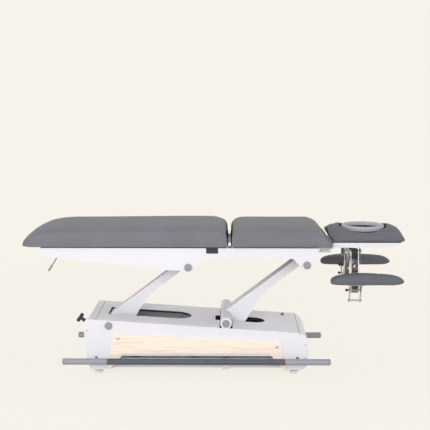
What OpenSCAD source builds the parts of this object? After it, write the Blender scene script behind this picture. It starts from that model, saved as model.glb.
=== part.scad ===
// Chiropractic table with a lifting parallelogram, a tilting leg section,
// a tilting head section, two swinging armrests and two foot bars.
// X runs along the table with the head at +X, Z is up and the floor is Z = 0.
// The origin is on the floor, midway along the table and in its long middle plane.

/* [Table top] */
// Width of the leg and torso cushions
top_w = 630; // [590:5:680]
// Length of the leg cushion
leg_len = 1084; // [1040:2:1150]
// Length of the torso cushion
torso_len = 530; // [526:2:560]
// Height of the leg and torso cushions at the crown
cushion_h = 107; // [90:1:120]
// Place of the leg hinge along the table
hinge_x = 88; // [86:1:90]
// Half of the gap between the two cushions at their undersides
joint_gap = 4; // [4:0.5:6]
// Thickness of the boards under the cushions
board_t = 15; // [12:1:18]

/* [Head section] */
// Width of the head cushion
head_w = 400; // [380:2:420]
// Length of the head cushion along its underside
head_len = 381; // [370:1:400]
// Thickness of the head cushion
head_h = 70; // [60:1:80]
// Half length of the face ring along the table
ring_a = 123.5; // [118:0.5:126]
// Half width of the face ring
ring_b = 135; // [128:1:138]
// Width of the padding of the face ring
ring_w = 26; // [22:1:30]
// Height of the tray's skirt
tray_h = 25; // [22:1:26]

/* [Lift] */
// Distance between the two pivots of each lifting arm
arm_len = 525; // [515:1:535]
// Slope of the arms as photographed, in degrees
arm_angle = 36.9; // [35:0.1:39]
// Place of the left arm's upper pivot along the table
top_pivot_x = -129; // [-132:0.5:-126]
// Height of the left arm's lower pivot
left_z = 263.3; // [261:0.1:266]
// Distance between the two lower pivots
pivot_spread = 617.2; // [612:0.2:622]
// How much higher the right pivots lie than the left ones
pivot_rise = 13.1; // [11:0.1:16]
// Radius of the four axles
axle_r = 12.5; // [10:0.5:14]
// Width of the left arm
left_w = 100; // [90:1:110]
// Width of the right arm
right_w = 116; // [104:1:120]
// Radius of the crank that the actuator pushes
crank_len = 110; // [106:1:112]
// Radius of the crank's pin
crank_pin_r = 8; // [6:0.5:9]

/* [Base] */
// Length of the base's side plates
base_len = 1180.5; // [1174:0.5:1190]
// Height of the base's side plates
base_h = 269; // [266:1:274]
// Distance from the base's foot end to the left arm's lower pivot
base_lead = 128.7; // [126:0.1:131]
// Height of the lower edge of the base above the floor
base_z = 29; // [28:0.5:30]
// Distance from the middle plane to the outer face of the side plates
base_half = 263; // [260:0.5:268]
// Thickness of the painted sheet
sheet_t = 3; // [2:0.5:3]
// Thickness of the wooden panels
panel_t = 9; // [8:0.5:12]
// Radius of a levelling foot
foot_r = 24; // [18:1:26]

/* [Foot bars] */
// Distance from the middle plane to the axis of a foot bar
bar_y = 320; // [312:1:330]
// Height of the foot bars' axes
bar_z = 85; // [84:0.5:88]
// Radius of a foot bar
bar_r = 16.5; // [14:0.5:18]
// Distance from the bars' left ends to the base's foot end
bar_lead = 104; // [80:1:120]
// Length of a foot bar
bar_len = 1392; // [1360:1:1420]

/* [Armrests] */
// Distance between the pivots of each armrest link
link_len = 208; // [200:1:214]
// Slope of the near armrest's links from upright, in degrees
near_angle = 12; // [8:0.5:16]
// Slope of the far armrest's links from upright, in degrees
far_angle = 29.3; // [24:0.1:32]
// Length of an armrest pad
pad_len = 387; // [370:1:400]
// Width of an armrest pad
pad_w = 108; // [100:1:112]
// Height of an armrest pad
pad_h = 63; // [56:1:66]

/* [Hidden] */
$fn = 48;

// Overrun of every cut, run of a weld into its neighbour, and clearances of pins and soft pieces
over = 6;
weld = 2;
fit_gap = 0.05;
soft_gap = 0.3;

// Colours
frame_white = [0.93, 0.93, 0.94];
cover_white = [0.87, 0.87, 0.88];
cushion_grey = [0.43, 0.44, 0.48];
light_grey = [0.68, 0.69, 0.71];
dark_grey = [0.32, 0.33, 0.35];
black = [0.12, 0.12, 0.13];
ash = [0.93, 0.84, 0.72];
steel = [0.75, 0.76, 0.78];
brown = [0.42, 0.3, 0.22];

// Lift
arm_dx = arm_len*cos(arm_angle);
arm_dz = arm_len*sin(arm_angle);
left_x = top_pivot_x - arm_dx;
right_x = left_x + pivot_spread;
right_z = left_z + pivot_rise;
base_x = left_x - base_lead;
bar_x0 = base_x - bar_lead;
bar_x1 = bar_x0 + bar_len;
top_left_x = left_x + arm_dx;
top_left_z = left_z + arm_dz;
top_right_x = right_x + arm_dx;
top_right_z = right_z + arm_dz;
hub_r = 22;
cross_tube_r = 30;
top_sleeve_r = 27;
boss_t = 9;
boss_step = 2;
side_play = 0.5;
sleeve_half = base_half - sheet_t - boss_t - side_play;
cap_r = 19.5;
cap_t = 12;

// Heights of the deck, worked up from the upper pivots
deck_rise = 101.5;
deck_z = top_left_z + deck_rise;
board_z = deck_z - board_t;
frame_gap = 0.5;

// Base plate outlines as shares of its length and height, from its lower foot corner
base_shares = [[0.0267, 0, 0], [0.9729, 0, 0.01], [0.9915, 0.0743, 0.02],
  [1, 0.3197, 0.05], [0.9975, 0.5799, 0.02], [0.9814, 0.684, 0.01],
  [0.961, 0.736, 0], [0.0165, 1, 0.01], [0.0008, 0.866, 0.01],
  [0, 0.446, 0.03], [0.0114, 0.212, 0.03]];
panel_shares = [[0.1004, -0.0186, 0], [0.1097, -0.0186, 0], [0.1776, 0.3264, 0.004],
  [0.8254, 0.3264, 0.004], [0.8928, -0.0149, 0], [0.9026, -0.0149, 0],
  [0.8721, 0.5576, 0.004], [0.1343, 0.71, 0.004]];
arch_shares = [[0.1097, -0.0186], [0.8928, -0.0149], [0.8381, 0.262], [0.1649, 0.262]];
seam_shares = [0.0504, 0.9593];
arch_grow = 3;

// Rails and cross members of the chassis
rail_y = 210;
rail_w = 30;
rail_z0 = 32;
rail_h = 48;
rail_shares = [0.0318, 0.9678];
foot_x_shares = [0.058, 0.9398];
foot_plate_t = 6;
foot_plate = [60, 46];
cross_w = 40;
arm_stub_t = 8;

// Cover slots
cover_t = 2.5;
slot_l_lead = 18;
slot_l_x0 = left_x - slot_l_lead;
slot_l_len = 382;
slot_l_x1 = slot_l_x0 + slot_l_len;
slot_l_half = 93;
slot_l_r = 99.6;
slot_r_lead = 58.4;
slot_r_x0 = right_x - slot_r_lead;
slot_r_len = 220;
slot_r_x1 = slot_r_x0 + slot_r_len;
slot_r_half = 65;
slot_r_r = 67.25;
lip_t = 2;
lip_h = 12;
lip_clear = 33;
cross_slot_play = 4;
socket_reach = 314.6;
socket_at = [right_x + socket_reach, 168];
dash_back = 11;
dash_at = [socket_at.x - dash_back, -95];
dash_len = 30;
dash_w = 6;

// Actuator
motor_r = 32;
motor_reach = 468.4;
motor_x = right_x - motor_reach;
motor_len = 105;
tube_r = 25;
tube_clear = 128.4;
tube_x1 = right_x - tube_clear;
rod_r = 10;
rod_len = 180;
yoke_wall = 12;
yoke_half_y = 14;
crank_y = 20;
crank_t = 10;
crank_end_r = 16;
slot_play = 1.1;
lift_up = 32;
lift_down = 32.9;
slot_rise = crank_len*(1 - cos(lift_down));
actuator_z = right_z - crank_len;

// Arm outline along and across the arm, as shares of its length and its root depth
arm_root = 88;
arm_shares = [[0, 0.27, 0], [-0.038, -0.25, 0.02], [0.038, -0.8, 0.02], [0.118, -1, 0.04],
  [0.2286, -0.727, 0.05], [0.3524, -0.4, 0.08], [0.505, -0.228, 0.1], [0.667, -0.216, 0],
  [0.857, -0.205, 0], [1, -0.23, 0], [1, 0.27, 0]];

// Upper frame outline as shares of its length and depth, from its lower foot corner
frame_lead = 775;
frame_x = top_pivot_x - frame_lead;
frame_len = 1459;
frame_half = 290;
frame_depth = deck_z - frame_gap - (top_left_z - 17);
frame_shares = [[0, 0.97, 0.002], [0, 1, 0], [1, 1, 0], [0.983, 0.47, 0.01], [0.9614, 0.043, 0.014],
  [0.9465, 0.01, 0.01], [0.929, 0.228, 0.01], [0.904, 0.546, 0.02], [0.6025, 0.58, 0.05],
  [0.574, 0.366, 0.02], [0.539, 0.018, 0.006], [0.517, 0, 0.006], [0.46, 0.016, 0.05],
  [0.307, 0.248, 0.1], [0.0023, 0.628, 0.004]];
cross_h = 30;
cross_b = 30;
leg_tube = 25;
frame_boss_r = 17.5;
frame_boss_t = 12;
foot_cross_in = 118;
foot_cross_x = frame_x + foot_cross_in;
foot_cross_h = 14;
mid_cross_at = [284, 584];
mid_cross_xs = [for (a = mid_cross_at) frame_x + a];
torso_cross_at = [32, 417];
torso_cross_xs = [for (a = torso_cross_at) hinge_x + a];

// Leg hinge and leg frame
hinge_drop = 13;
hinge_z = deck_z - hinge_drop;
knuckle_r = 11;
leg_pin_r = 6;
leg_ear_y = 210;
ear_t = 10;
bracket_play = 0.5;
board_back = 16;
board_half = 280;
leg_board_len = 1030;
leg_frame_len = 915;
leg_frame_back = 28;
leg_frame_end = hinge_x - leg_frame_back;
leg_frame_x = leg_frame_end - leg_frame_len;
leg_tube_y = 247.5;
leg_cross_at = [0, 375];
leg_cross_xs = concat([for (a = leg_cross_at) leg_frame_x + a], [leg_frame_end - leg_tube]);

// Release lever
lever_y = -200;
lever_in = 39;
lever_fall = 13;
lever_pivot = [leg_frame_x + lever_in, lever_fall];
lever_drop = 82;
lever_back = 52.4;
lever_r = 3;
lever_grip_r = 5;
lever_grip_len = 34;
lever_boss_r = 8;
lever_pin_r = 4;
lug_t = 5;
lug_half = 5;

// Head section
head_gap = 8;
head_x = hinge_x + joint_gap + torso_len + head_gap;
head_pin_x = head_x - head_gap;
head_pin_z = deck_z - 12;
head_pin_r = 5;
head_eye_r = 10;
head_arm_in = 50;
head_arm_y = head_w/2 - head_arm_in;
head_arm_t = 20;
head_ear_t = 6;
head_play = 1;
tray_x = head_x + 3;
tray_len = 358;
tray_flat_share = 0.78;
tray_inset = 5;
tray_half = head_w/2 - tray_inset;
tray_top_t = 4;
head_rise = 15;
tray_z1 = deck_z + head_rise;
ring_reach = 176.7;
ring_x = head_x + ring_reach;
ring_h = 80;

// Armrests, in the plane across the table, from the lower bracket pivot
rest_reach = 120;
rest_x = head_x + rest_reach;
bracket_inset = 74;
pivot_y = head_w/2 - bracket_inset;
pivot_drop = 92;
upper_out = 12;
upper_up = 57;
cheek_in = 27;
plate_t = 3.5;
lower_in = 22.5;
upper_in = 18;
bolt_r = 4;
bolt_head_r = 7;
bolt_head_t = 5.5;
eye_r = 9;
upper_half = 7;
lower_half = 8;
web_t = 4;
web_ends = 40;
pad_rise = 97;
pad_out = 21;
pad_lead = 142;
pad_x = rest_x - pad_lead;
pad_plate_t = 4;
pad_plate_half = 45;
tie_r = 5;
knob_r = 12;
knob_t = 16;

// T-handle
handle_y = -230;
handle_r = 7;
handle_len = 35.2;
handle_in = 30;
handle_angle = 34.6;
crossbar_half = 21;
handle_boss_r = 12;
handle_boss_t = 8;
handle_at_shares = [0.0075, 0.93];

// Profiles across and along the soft pieces
belly_share = 0.3;
draw_in = 9;
crown_drop = 7;
waist_in = 3;
nose_len = 230;
nose_in = 62;
joint_len = 46;
joint_in = 10;
slope_len = 92;
nose_shares = [[0, 0.06, 0.2, 1], [0.02, 0.01, 0.33, 0.72], [0.06, 0, 0.46, 0.48],
  [0.13, 0, 0.6, 0.27], [0.24, 0, 0.73, 0.12], [0.4, 0, 0.85, 0.04], [0.6, 0, 0.93, 0],
  [0.8, 0, 0.98, 0], [1, 0, 1, 0]];
leg_joint_shares = [[1, 0, 1, 0], [0.7, 0, 0.97, 0], [0.45, 0, 0.89, 0.1], [0.3, 0, 0.72, 0.3],
  [0.24, 0, 0.6, 0.4], [0.12, 0, 0.3, 0.7], [0, 0, 0.08, 1]];
torso_joint_shares = [[0, 0, 0.1, 1], [0.01, 0, 0.6, 0.6], [0.1, 0, 0.74, 0.3],
  [0.3, 0, 0.88, 0.1], [0.6, 0, 0.97, 0], [1, 0, 1, 0]];
slope_shares = [[1, 0, 1, 0], [0.8, 0, 0.955, 0], [0.62, 0, 0.86, 0], [0.4, 0, 0.6, 0.1],
  [0.2, 0, 0.3, 0.2], [0.04, 0, 0.07, 0.5], [0, 0, 0.03, 1]];
head_left_shares = [[-0.063, 0.68, 0.8, 1], [-0.055, 0.58, 0.88, 0.7], [-0.035, 0.36, 0.94, 0.4],
  [-0.015, 0.14, 0.965, 0.2], [0, 0, 0.98, 0.1], [0.1, 0, 1, 0], [0.3, 0, 1, 0]];
head_right_shares = [[0.6, 0, 1, 0], [0.75, 0, 0.985, 0], [0.86, 0, 0.9, 0.1], [0.93, 0, 0.68, 0.35],
  [0.97, 0, 0.48, 0.6], [0.992, 0.04, 0.32, 0.85], [1, 0.1, 0.22, 1]];
head_in = 30;
pad_shares = [[0, 0.14, 0.4, 1], [0.015, 0.05, 0.55, 0.7], [0.05, 0.01, 0.7, 0.4],
  [0.1, 0, 0.8, 0.2], [0.2, 0, 0.91, 0.06], [0.33, 0, 0.98, 0], [0.46, 0, 1, 0],
  [0.6, 0, 0.97, 0.04], [0.74, 0.02, 0.89, 0.14], [0.85, 0.05, 0.78, 0.3], [0.92, 0.09, 0.67, 0.45],
  [0.97, 0.15, 0.54, 0.68], [1, 0.23, 0.4, 1]];
pad_in = 34;
big_power = 6;
pad_power = 3;
top_count = 16;
ring_count = 40;

function unit(v) = v/norm(v);
function corner(a, b, c, r, n = 6) =
  let (u = unit(a - b), w = unit(c - b), half = acos(u*w)/2, d = r/tan(half),
       p = b + u*d, q = b + w*d, m = b + unit(u + w)*(r/sin(half)),
       a0 = atan2(p.y - m.y, p.x - m.x), a1 = atan2(q.y - m.y, q.x - m.x),
       turn = ((a1 - a0 + 540) % 360) - 180)
  [for (i = [0:n]) m + r*[cos(a0 + turn*i/n), sin(a0 + turn*i/n)]];
// Polygon of points [x, y, radius] with its corners rounded
function rounded(pts, n = 6) =
  [for (i = [0:len(pts) - 1])
    let (a = pts[(i + len(pts) - 1) % len(pts)], b = pts[i], c = pts[(i + 1) % len(pts)])
    each (b.z > 0 ? corner([a.x, a.y], [b.x, b.y], [c.x, c.y], b.z, n) : [[b.x, b.y]])];
// Counter-clockwise polygon moved inwards by d
function inset(p, d) =
  [for (i = [0:len(p) - 1])
    let (a = p[(i + len(p) - 1) % len(p)], b = p[i], c = p[(i + 1) % len(p)],
         u = unit(b - a), w = unit(c - b), n1 = [-u.y, u.x], n2 = [-w.y, w.x])
    b + d*(n1 + n2)/(1 + n1*n2)];
// Shares of a length and a height as points; the third share is a corner radius
function spread(shares, at, size) =
  [for (s = shares) [at.x + s.x*size.x, at.y + s.y*size.y, is_undef(s.z) ? 0 : s.z*size.x]];
function along(share) = base_x + share*base_len;
base_at = [base_x, base_z];
base_size = [base_len, base_h];
base_top = [for (i = [6, 7]) [along(base_shares[i].x), base_z + base_shares[i].y*base_h]];
base_slope = (base_top[1].y - base_top[0].y)/(base_top[0].x - base_top[1].x);
function cover_z(x) = base_top[1].y - (x - base_top[1].x)*base_slope;
base_outline = rounded(spread(base_shares, base_at, base_size));
foot_xs = [for (s = foot_x_shares) along(s)];
seam_xs = [for (s = seam_shares) along(s)];
inner_half = base_half - sheet_t;

// Extrusions of a profile across and along the table, and round bars on both axes
module across(y0, y1) {
  translate([0, y1, 0]) rotate([90, 0, 0]) linear_extrude(y1 - y0) children();
}
module lengthwise(x0, x1) {
  translate([x0, 0, 0]) rotate([90, 0, 90]) linear_extrude(x1 - x0) children();
}
module bar_across(x, z, r, y0, y1) {
  translate([x, y1, z]) rotate([90, 0, 0]) cylinder(r = r, h = y1 - y0);
}
module bar_along(y, z, r, x0, x1) {
  translate([x0, y, z]) rotate([0, 90, 0]) cylinder(r = r, h = x1 - x0);
}
module block(lo, hi) {
  translate(lo) cube(hi - lo);
}
module both() {
  children();
  mirror([0, 1, 0]) children();
}
module near() {
  mirror([0, 1, 0]) children();
}

// Base

module base_chassis() {
  x0 = along(rail_shares[0]);
  x1 = along(rail_shares[1]);
  z1 = rail_z0 + rail_h;
  rail_in = rail_y - rail_w/2;
  wide_xs = [left_x, right_x];
  color(frame_white) {
    both() {
      block([x0, rail_in, rail_z0], [x1, rail_in + rail_w, z1]);
      for (x = foot_xs) difference() {
        block([x - foot_plate.x/2, rail_y - foot_plate.y/2, rail_z0 - foot_plate_t],
          [x + foot_plate.x/2, rail_y + foot_plate.y/2, rail_z0 + weld]);
        translate([x, rail_y, rail_z0 - foot_plate_t - over])
          cylinder(r = stud_r + fit_gap, h = foot_plate_t + over + fit_gap);
      }
      for (x = wide_xs)
        block([x - cross_w/2, rail_in + rail_w - weld, rail_z0], [x + cross_w/2, inner_half, z1]);
    }
    for (x = concat([x0 + cross_w/2, x1 - cross_w/2, motor_x - cross_w/2, tube_x1 - cross_w], wide_xs))
      block([x - cross_w/2, -rail_in - weld, rail_z0], [x + cross_w/2, rail_in + weld, z1]);
    difference() {
      block([tube_x1 - cross_w - saddle_t/2, -saddle_half, z1 - weld],
        [tube_x1 - cross_w + saddle_t/2, saddle_half, actuator_z + tube_r + saddle_wall]);
      bar_along(0, actuator_z, tube_r + fit_gap, tube_x1 - cross_w - saddle_t, tube_x1 - cross_w + saddle_t);
    }
    both() difference() {
      across(motor_eye_half, motor_eye_half + lug_plate_t)
        polygon(rounded([[motor_x - cross_w, z1 - weld, 0], [motor_x, z1 - weld, 0],
          [motor_pin_x + motor_eye_r, actuator_z + motor_eye_r, motor_eye_r/2],
          [motor_pin_x - motor_eye_r, actuator_z + motor_eye_r, motor_eye_r/2]]));
      bar_across(motor_pin_x, actuator_z, motor_pin_r + fit_gap, 0, motor_eye_half + lug_plate_t + over);
    }
  }
}
stud_r = 6;
saddle_t = 16;
saddle_half = 34;
saddle_wall = 8;
motor_eye_half = 16;
lug_plate_t = 6;
motor_eye_r = 14;
motor_pin_r = 6;
motor_pin_x = motor_x - motor_eye_r - side_play;

// One painted side plate with its ear, bearing bosses, arch and slots
module side_plate() {
  ear_slit = [3, 22];
  ear_slit_x = 31;
  ear_slit_drop = 15;
  slot = [14, 28];
  difference() {
    union() {
      difference() {
        across(inner_half, base_half) {
          polygon(base_outline);
          translate([right_x, right_z]) circle(cross_tube_r);
        }
        across(inner_half - over, base_half + over) {
          polygon(inset([for (p = spread(arch_shares, base_at, base_size)) [p.x, p.y]], -arch_grow));
          for (s = [-1, 1])
            translate([right_x + s*ear_slit_x - ear_slit.x/2, right_z - ear_slit_drop - ear_slit.y/2])
              square(ear_slit);
          for (x = stub_xs) translate([x - slot.x/2, bar_z - slot.y/2]) square(slot);
        }
      }
      bar_across(right_x, right_z, cross_tube_r - boss_step, inner_half - boss_t, inner_half);
      bar_across(left_x, left_z, hub_r, inner_half - boss_t, inner_half);
    }
    for (p = [[left_x, left_z], [right_x, right_z]])
      bar_across(p.x, p.y, axle_r + fit_gap, inner_half - boss_t - over, base_half + over);
  }
}
stub_shares = [0.053, 0.951];
stub_xs = [for (s = stub_shares) along(s)];
module base_side_near() { color(frame_white) near() side_plate(); }
module base_side_far() { color(frame_white) side_plate(); }

// Plan of a cover slot: straight sides and an arched tip
module slot_plan(x0, x1, half, r, grow) {
  reach = sqrt(r*r - half*half);
  translate([x0 - grow, -half - grow]) square([x1 - x0 + grow, 2*(half + grow)]);
  intersection() {
    translate([x1 - reach, 0]) circle(r + grow);
    translate([x1 - weld, -half - grow]) square([r + weld, 2*(half + grow)]);
  }
}
module both_slots(grow) {
  slot_plan(slot_l_x0, slot_l_x1, slot_l_half, slot_l_r, grow);
  slot_plan(slot_r_x0, slot_r_x1, slot_r_half, slot_r_r, grow);
}
// Layer that follows the slope of the cover, from one depth below its face to another
module sloped(x0, x1, half, d0, d1) {
  across(-half, half)
    polygon([[x0, cover_z(x0) - d1], [x1, cover_z(x1) - d1], [x1, cover_z(x1) - d0], [x0, cover_z(x0) - d0]]);
}
module base_top_cover() {
  gap = cross_tube_r + cross_slot_play;
  color(cover_white) {
    difference() {
      sloped(seam_xs[0], seam_xs[1], inner_half, 0, cover_t);
      linear_extrude(base_z + base_h + over) {
        both_slots(0);
        translate([right_x - gap, -base_half]) square([2*gap, 2*base_half]);
        translate([dash_at.x - dash_len/2, dash_at.y - dash_w/2]) square([dash_len, dash_w]);
        translate(socket_at) circle(socket_r);
      }
    }
    intersection() {
      sloped(slot_l_x0 + 2*lip_clear, seam_xs[1], slot_l_half + over, cover_t, lip_h);
      linear_extrude(base_z + base_h + over) difference() {
        both_slots(lip_t);
        both_slots(0);
        translate([slot_r_x0 - over, -base_half]) square([right_x + gap - slot_r_x0 + over, 2*base_half]);
      }
    }
  }
}
socket_r = 8;
socket_flange_r = 20;
socket_flange_t = 4;
socket_t = 10;

module band(x0, x1) {
  width = x1 - x0;
  across(-inner_half, inner_half) intersection() {
    difference() {
      polygon(base_outline);
      polygon(inset(base_outline, cover_t));
    }
    translate([x0, rail_z0]) square([width, base_h + over]);
  }
}
module end_cover_foot() {
  color(cover_white) difference() {
    union() {
      band(base_x - over, seam_xs[0]);
      handle_axis() translate([0, 0, -cover_t]) cylinder(r = handle_boss_r, h = handle_boss_t + cover_t);
    }
    handle_axis() translate([0, 0, -handle_in - over]) cylinder(r = handle_r + fit_gap, h = handle_len + handle_in);
  }
}
module end_cover_head() { color(cover_white) band(seam_xs[1], base_x + base_len + over); }
// Axis of the T-handle, square to the cover's corner
module handle_axis() {
  translate([along(handle_at_shares[0]), handle_y, base_z + handle_at_shares[1]*base_h])
    rotate([0, handle_angle - 90, 0]) children();
}

module wood_panel() {
  across(base_half, base_half + panel_t) polygon(rounded(spread(panel_shares, base_at, base_size), 4));
}
module wood_panel_near() { color(ash) near() wood_panel(); }
module wood_panel_far() { color(ash) wood_panel(); }
screw_shares = [[0.152, 0.632], [0.858, 0.4685]];
screw_r = 9.5;
screw_t = 2.5;
module panel_screws() {
  color(light_grey) both() for (s = screw_shares)
    translate([along(s.x), base_half + panel_t + screw_t, base_z + s.y*base_h]) rotate([90, 0, 0])
      rotate_extrude() polygon([[0, 0], [screw_r/2, 0], [screw_r - screw_t/2, screw_t/3], [screw_r, screw_t],
        [0, screw_t]]);
}

foot_h = 15;
module levelling_feet() {
  color(light_grey) both() for (x = foot_xs) translate([x, rail_y, 0]) rotate_extrude()
    polygon([[0, 0], [foot_r - foot_h/6, 0], [foot_r, foot_h/6], [foot_r, foot_h/2], [foot_r - foot_h/4, foot_h*0.8],
      [stud_r*2, foot_h], [stud_r*2, rail_z0 - foot_plate_t], [stud_r, rail_z0 - foot_plate_t],
      [stud_r, rail_z0], [0, rail_z0]]);
}

module lower_axles() {
  color(steel) for (p = [[left_x, left_z], [right_x, right_z]])
    bar_across(p.x, p.y, axle_r, -base_half, base_half);
}
module caps(points, y) {
  for (p = points) translate([p.x, y, p.y]) rotate([-90, 0, 0]) rotate_extrude()
    polygon([[0, 0], [cap_r, 0], [cap_r, cap_t*0.6], [cap_r*0.93, cap_t*0.85], [cap_r*0.75, cap_t], [0, cap_t]]);
}
module base_pivot_caps() {
  color(light_grey) both() caps([[left_x, left_z], [right_x, right_z]], base_half);
}

// Electric actuator: rear eye, motor housing and outer tube
module lift_motor() {
  side_len = 90;
  side_r = 28;
  side_drop = 56;
  side_flat = 6;
  color(dark_grey) difference() {
    union() {
      bar_along(0, actuator_z, motor_r, motor_x, motor_x + motor_len);
      bar_along(0, actuator_z, tube_r, motor_x + motor_len, tube_x1);
      bar_along(side_drop, actuator_z, side_r, motor_x + side_flat, motor_x + side_flat + side_len);
      bar_across(motor_pin_x, actuator_z, motor_eye_r, -motor_eye_half, motor_eye_half);
      block([motor_pin_x, -motor_eye_half, actuator_z - motor_eye_r],
        [motor_x + side_flat, motor_eye_half, actuator_z + motor_eye_r]);
      bar_across(motor_pin_x, actuator_z, motor_pin_r, -motor_eye_half - lug_plate_t, motor_eye_half + lug_plate_t);
    }
    bar_along(0, actuator_z, rod_r + fit_gap, motor_x + motor_len, tube_x1 + over);
  }
}
module control_box() {
  box_len = 150;
  box_w = 110;
  box_h = 55;
  spacer_len = 20;
  spacer_t = 6;
  x = right_x + cross_w/2;
  z = rail_z0 + rail_h;
  color(black) {
    block([x - spacer_len, -box_w/2, z + spacer_t],
      [x - spacer_len + box_len, box_w/2, z + spacer_t + box_h]);
    block([x - spacer_len, -box_w/2, z], [x, box_w/2, z + spacer_t + weld]);
  }
}
block_len = 21;
block_gap = 3;
module bar_bearings() {
  block_y1 = 258;
  block_z0 = 60;
  block_z1 = 103;
  rail_out = rail_y + rail_w/2;
  color(black) both() for (x = stub_xs, s = [-1, 1]) difference() {
    translate([x + s*(arm_stub_t/2 + block_gap + block_len/2) - block_len/2, rail_out, block_z0])
      cube([block_len, block_y1 - rail_out, block_z1 - block_z0]);
    bar_along(stub_y, bar_z, stub_r + fit_gap, x - 2*block_len - over, x + 2*block_len + over);
  }
}
stub_y = 238;
stub_r = 8;
stub_reach = 24;
module bar_switches() {
  body_len = 30;
  body_w = 21;
  body_h = 24;
  plunger_r = 3;
  plunger_h = 13;
  base_gap = 2;
  rail_out = rail_y + rail_w/2;
  z = rail_z0 + base_gap;
  color(dark_grey) both() for (x = stub_xs) {
    block([x - body_len/2, rail_out, z], [x + body_len/2, rail_out + body_w, z + body_h]);
    translate([x, rail_out + body_w/2, z]) cylinder(r = plunger_r, h = body_h + plunger_h);
  }
}
module cover_socket() {
  tilt = atan(base_slope);
  color(brown) translate([socket_at.x, socket_at.y, cover_z(socket_at.x)]) rotate([0, tilt, 0]) {
    difference() {
      cylinder(r = socket_flange_r, h = socket_flange_t);
      translate([0, 0, socket_flange_t/2]) cylinder(r = socket_r + socket_flange_t, h = socket_flange_t);
    }
    cylinder(r = socket_r - socket_flange_t/2, h = socket_t);
    translate([0, 0, -socket_t]) cylinder(r = socket_r - socket_flange_t/2, h = socket_t);
  }
}

// Lift

// Push rod with a slotted head in which the crank's pin rises and falls
module lift_rod() {
  half_x = crank_pin_r + slot_play + yoke_wall;
  z0 = actuator_z - crank_pin_r - slot_play - yoke_wall;
  z1 = actuator_z + slot_rise + crank_pin_r + slot_play + yoke_wall;
  color(steel) difference() {
    union() {
      bar_along(0, actuator_z, rod_r, right_x - half_x - rod_len, right_x - half_x + yoke_wall/2);
      block([right_x - half_x, -yoke_half_y, z0], [right_x + half_x, yoke_half_y, z1]);
    }
    hull_slot(right_x, actuator_z, actuator_z + slot_rise);
  }
}
module hull_slot(x, z0, z1) {
  r = crank_pin_r + slot_play;
  block([x - r, -yoke_half_y - over, z0], [x + r, yoke_half_y + over, z1]);
  for (z = [z0, z1]) bar_across(x, z, r, -yoke_half_y - over, yoke_half_y + over);
}

// One lifting arm, drawn along +X from its lower pivot
module arm(width, low_r) {
  outline = rounded([for (s = arm_shares) [s.x*arm_len, s.y*arm_root, s.z*arm_len]], 5);
  union() {
    across(-width/2, width/2) polygon(outline);
    bar_across(0, 0, low_r, -sleeve_half, sleeve_half);
    bar_across(arm_len, 0, top_sleeve_r, -top_half, top_half);
  }
}
module arm_bores() {
  bar_across(0, 0, axle_r + fit_gap, -sleeve_half - over, sleeve_half + over);
  bar_across(arm_len, 0, axle_r + fit_gap, -top_half - over, top_half + over);
}
top_half = frame_half - sheet_t - frame_boss_t - side_play;
module left_arm() {
  color(frame_white) translate([left_x, 0, left_z]) rotate([0, -arm_angle, 0]) difference() {
    arm(left_w, hub_r);
    arm_bores();
  }
}
module right_arm() {
  color(frame_white) translate([right_x, 0, right_z]) difference() {
    union() {
      rotate([0, -arm_angle, 0]) arm(right_w, cross_tube_r);
      both() {
        across(crank_y, crank_y + crank_t) polygon([[-crank_end_r, -crank_len], [crank_end_r, -crank_len],
          [cross_tube_r - crank_t/2, 0], [crank_t/2 - cross_tube_r, 0]]);
        bar_across(0, -crank_len, crank_end_r, crank_y, crank_y + crank_t);
      }
      bar_across(0, -crank_len, crank_pin_r, -crank_y - crank_t, crank_y + crank_t);
    }
    rotate([0, -arm_angle, 0]) arm_bores();
  }
}

// Upper frame

module frame_side() {
  at = [frame_x, deck_z - frame_gap - frame_depth];
  difference() {
    union() {
      across(frame_half - sheet_t, frame_half)
        polygon(rounded(spread(frame_shares, at, [frame_len, frame_depth]), 4));
      for (p = [[top_left_x, top_left_z], [top_right_x, top_right_z]])
        bar_across(p.x, p.y, frame_boss_r, frame_half - sheet_t - frame_boss_t, frame_half);
    }
    for (p = [[top_left_x, top_left_z], [top_right_x, top_right_z]])
      bar_across(p.x, p.y, axle_r + fit_gap, frame_half - sheet_t - frame_boss_t - over, frame_half + over);
  }
}
module frame_side_near() { color(frame_white) near() frame_side(); }
module frame_side_far() { color(frame_white) frame_side(); }
module frame_crossmembers() {
  half = frame_half - sheet_t;
  low = board_z - leg_tube - cross_h;
  color(frame_white) {
    block([foot_cross_x, -half, low + cross_h - foot_cross_h], [foot_cross_x + cross_b, half, low + cross_h]);
    for (x = mid_cross_xs) block([x, -half, low], [x + cross_b, half, low + cross_h]);
    for (x = torso_cross_xs) block([x, -half, board_z - cross_h], [x + cross_b, half, board_z]);
    both() difference() {
      union() {
        block([torso_cross_xs[1] + cross_b - weld, head_arm_y - head_arm_t/2, board_z - leg_tube],
          [head_pin_x, head_arm_y + head_arm_t/2, board_z - frame_gap]);
        bar_across(head_pin_x, head_pin_z, head_eye_r, head_arm_y - head_arm_t/2, head_arm_y + head_arm_t/2);
      }
      bar_across(head_pin_x, head_pin_z, head_pin_r + fit_gap, 0, frame_half);
    }
  }
}
module upper_axles() {
  color(steel) for (p = [[top_left_x, top_left_z], [top_right_x, top_right_z]])
    bar_across(p.x, p.y, axle_r, -frame_half, frame_half);
}
module frame_pivot_caps() {
  color(light_grey) both() caps([[top_left_x, top_left_z], [top_right_x, top_right_z]], frame_half);
}
torso_x = hinge_x + joint_gap;
module torso_board() {
  color(dark_grey) block([hinge_x + board_back, -board_half, board_z],
    [torso_x + torso_len - board_end, board_half, deck_z]);
}
board_end = 12;

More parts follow.
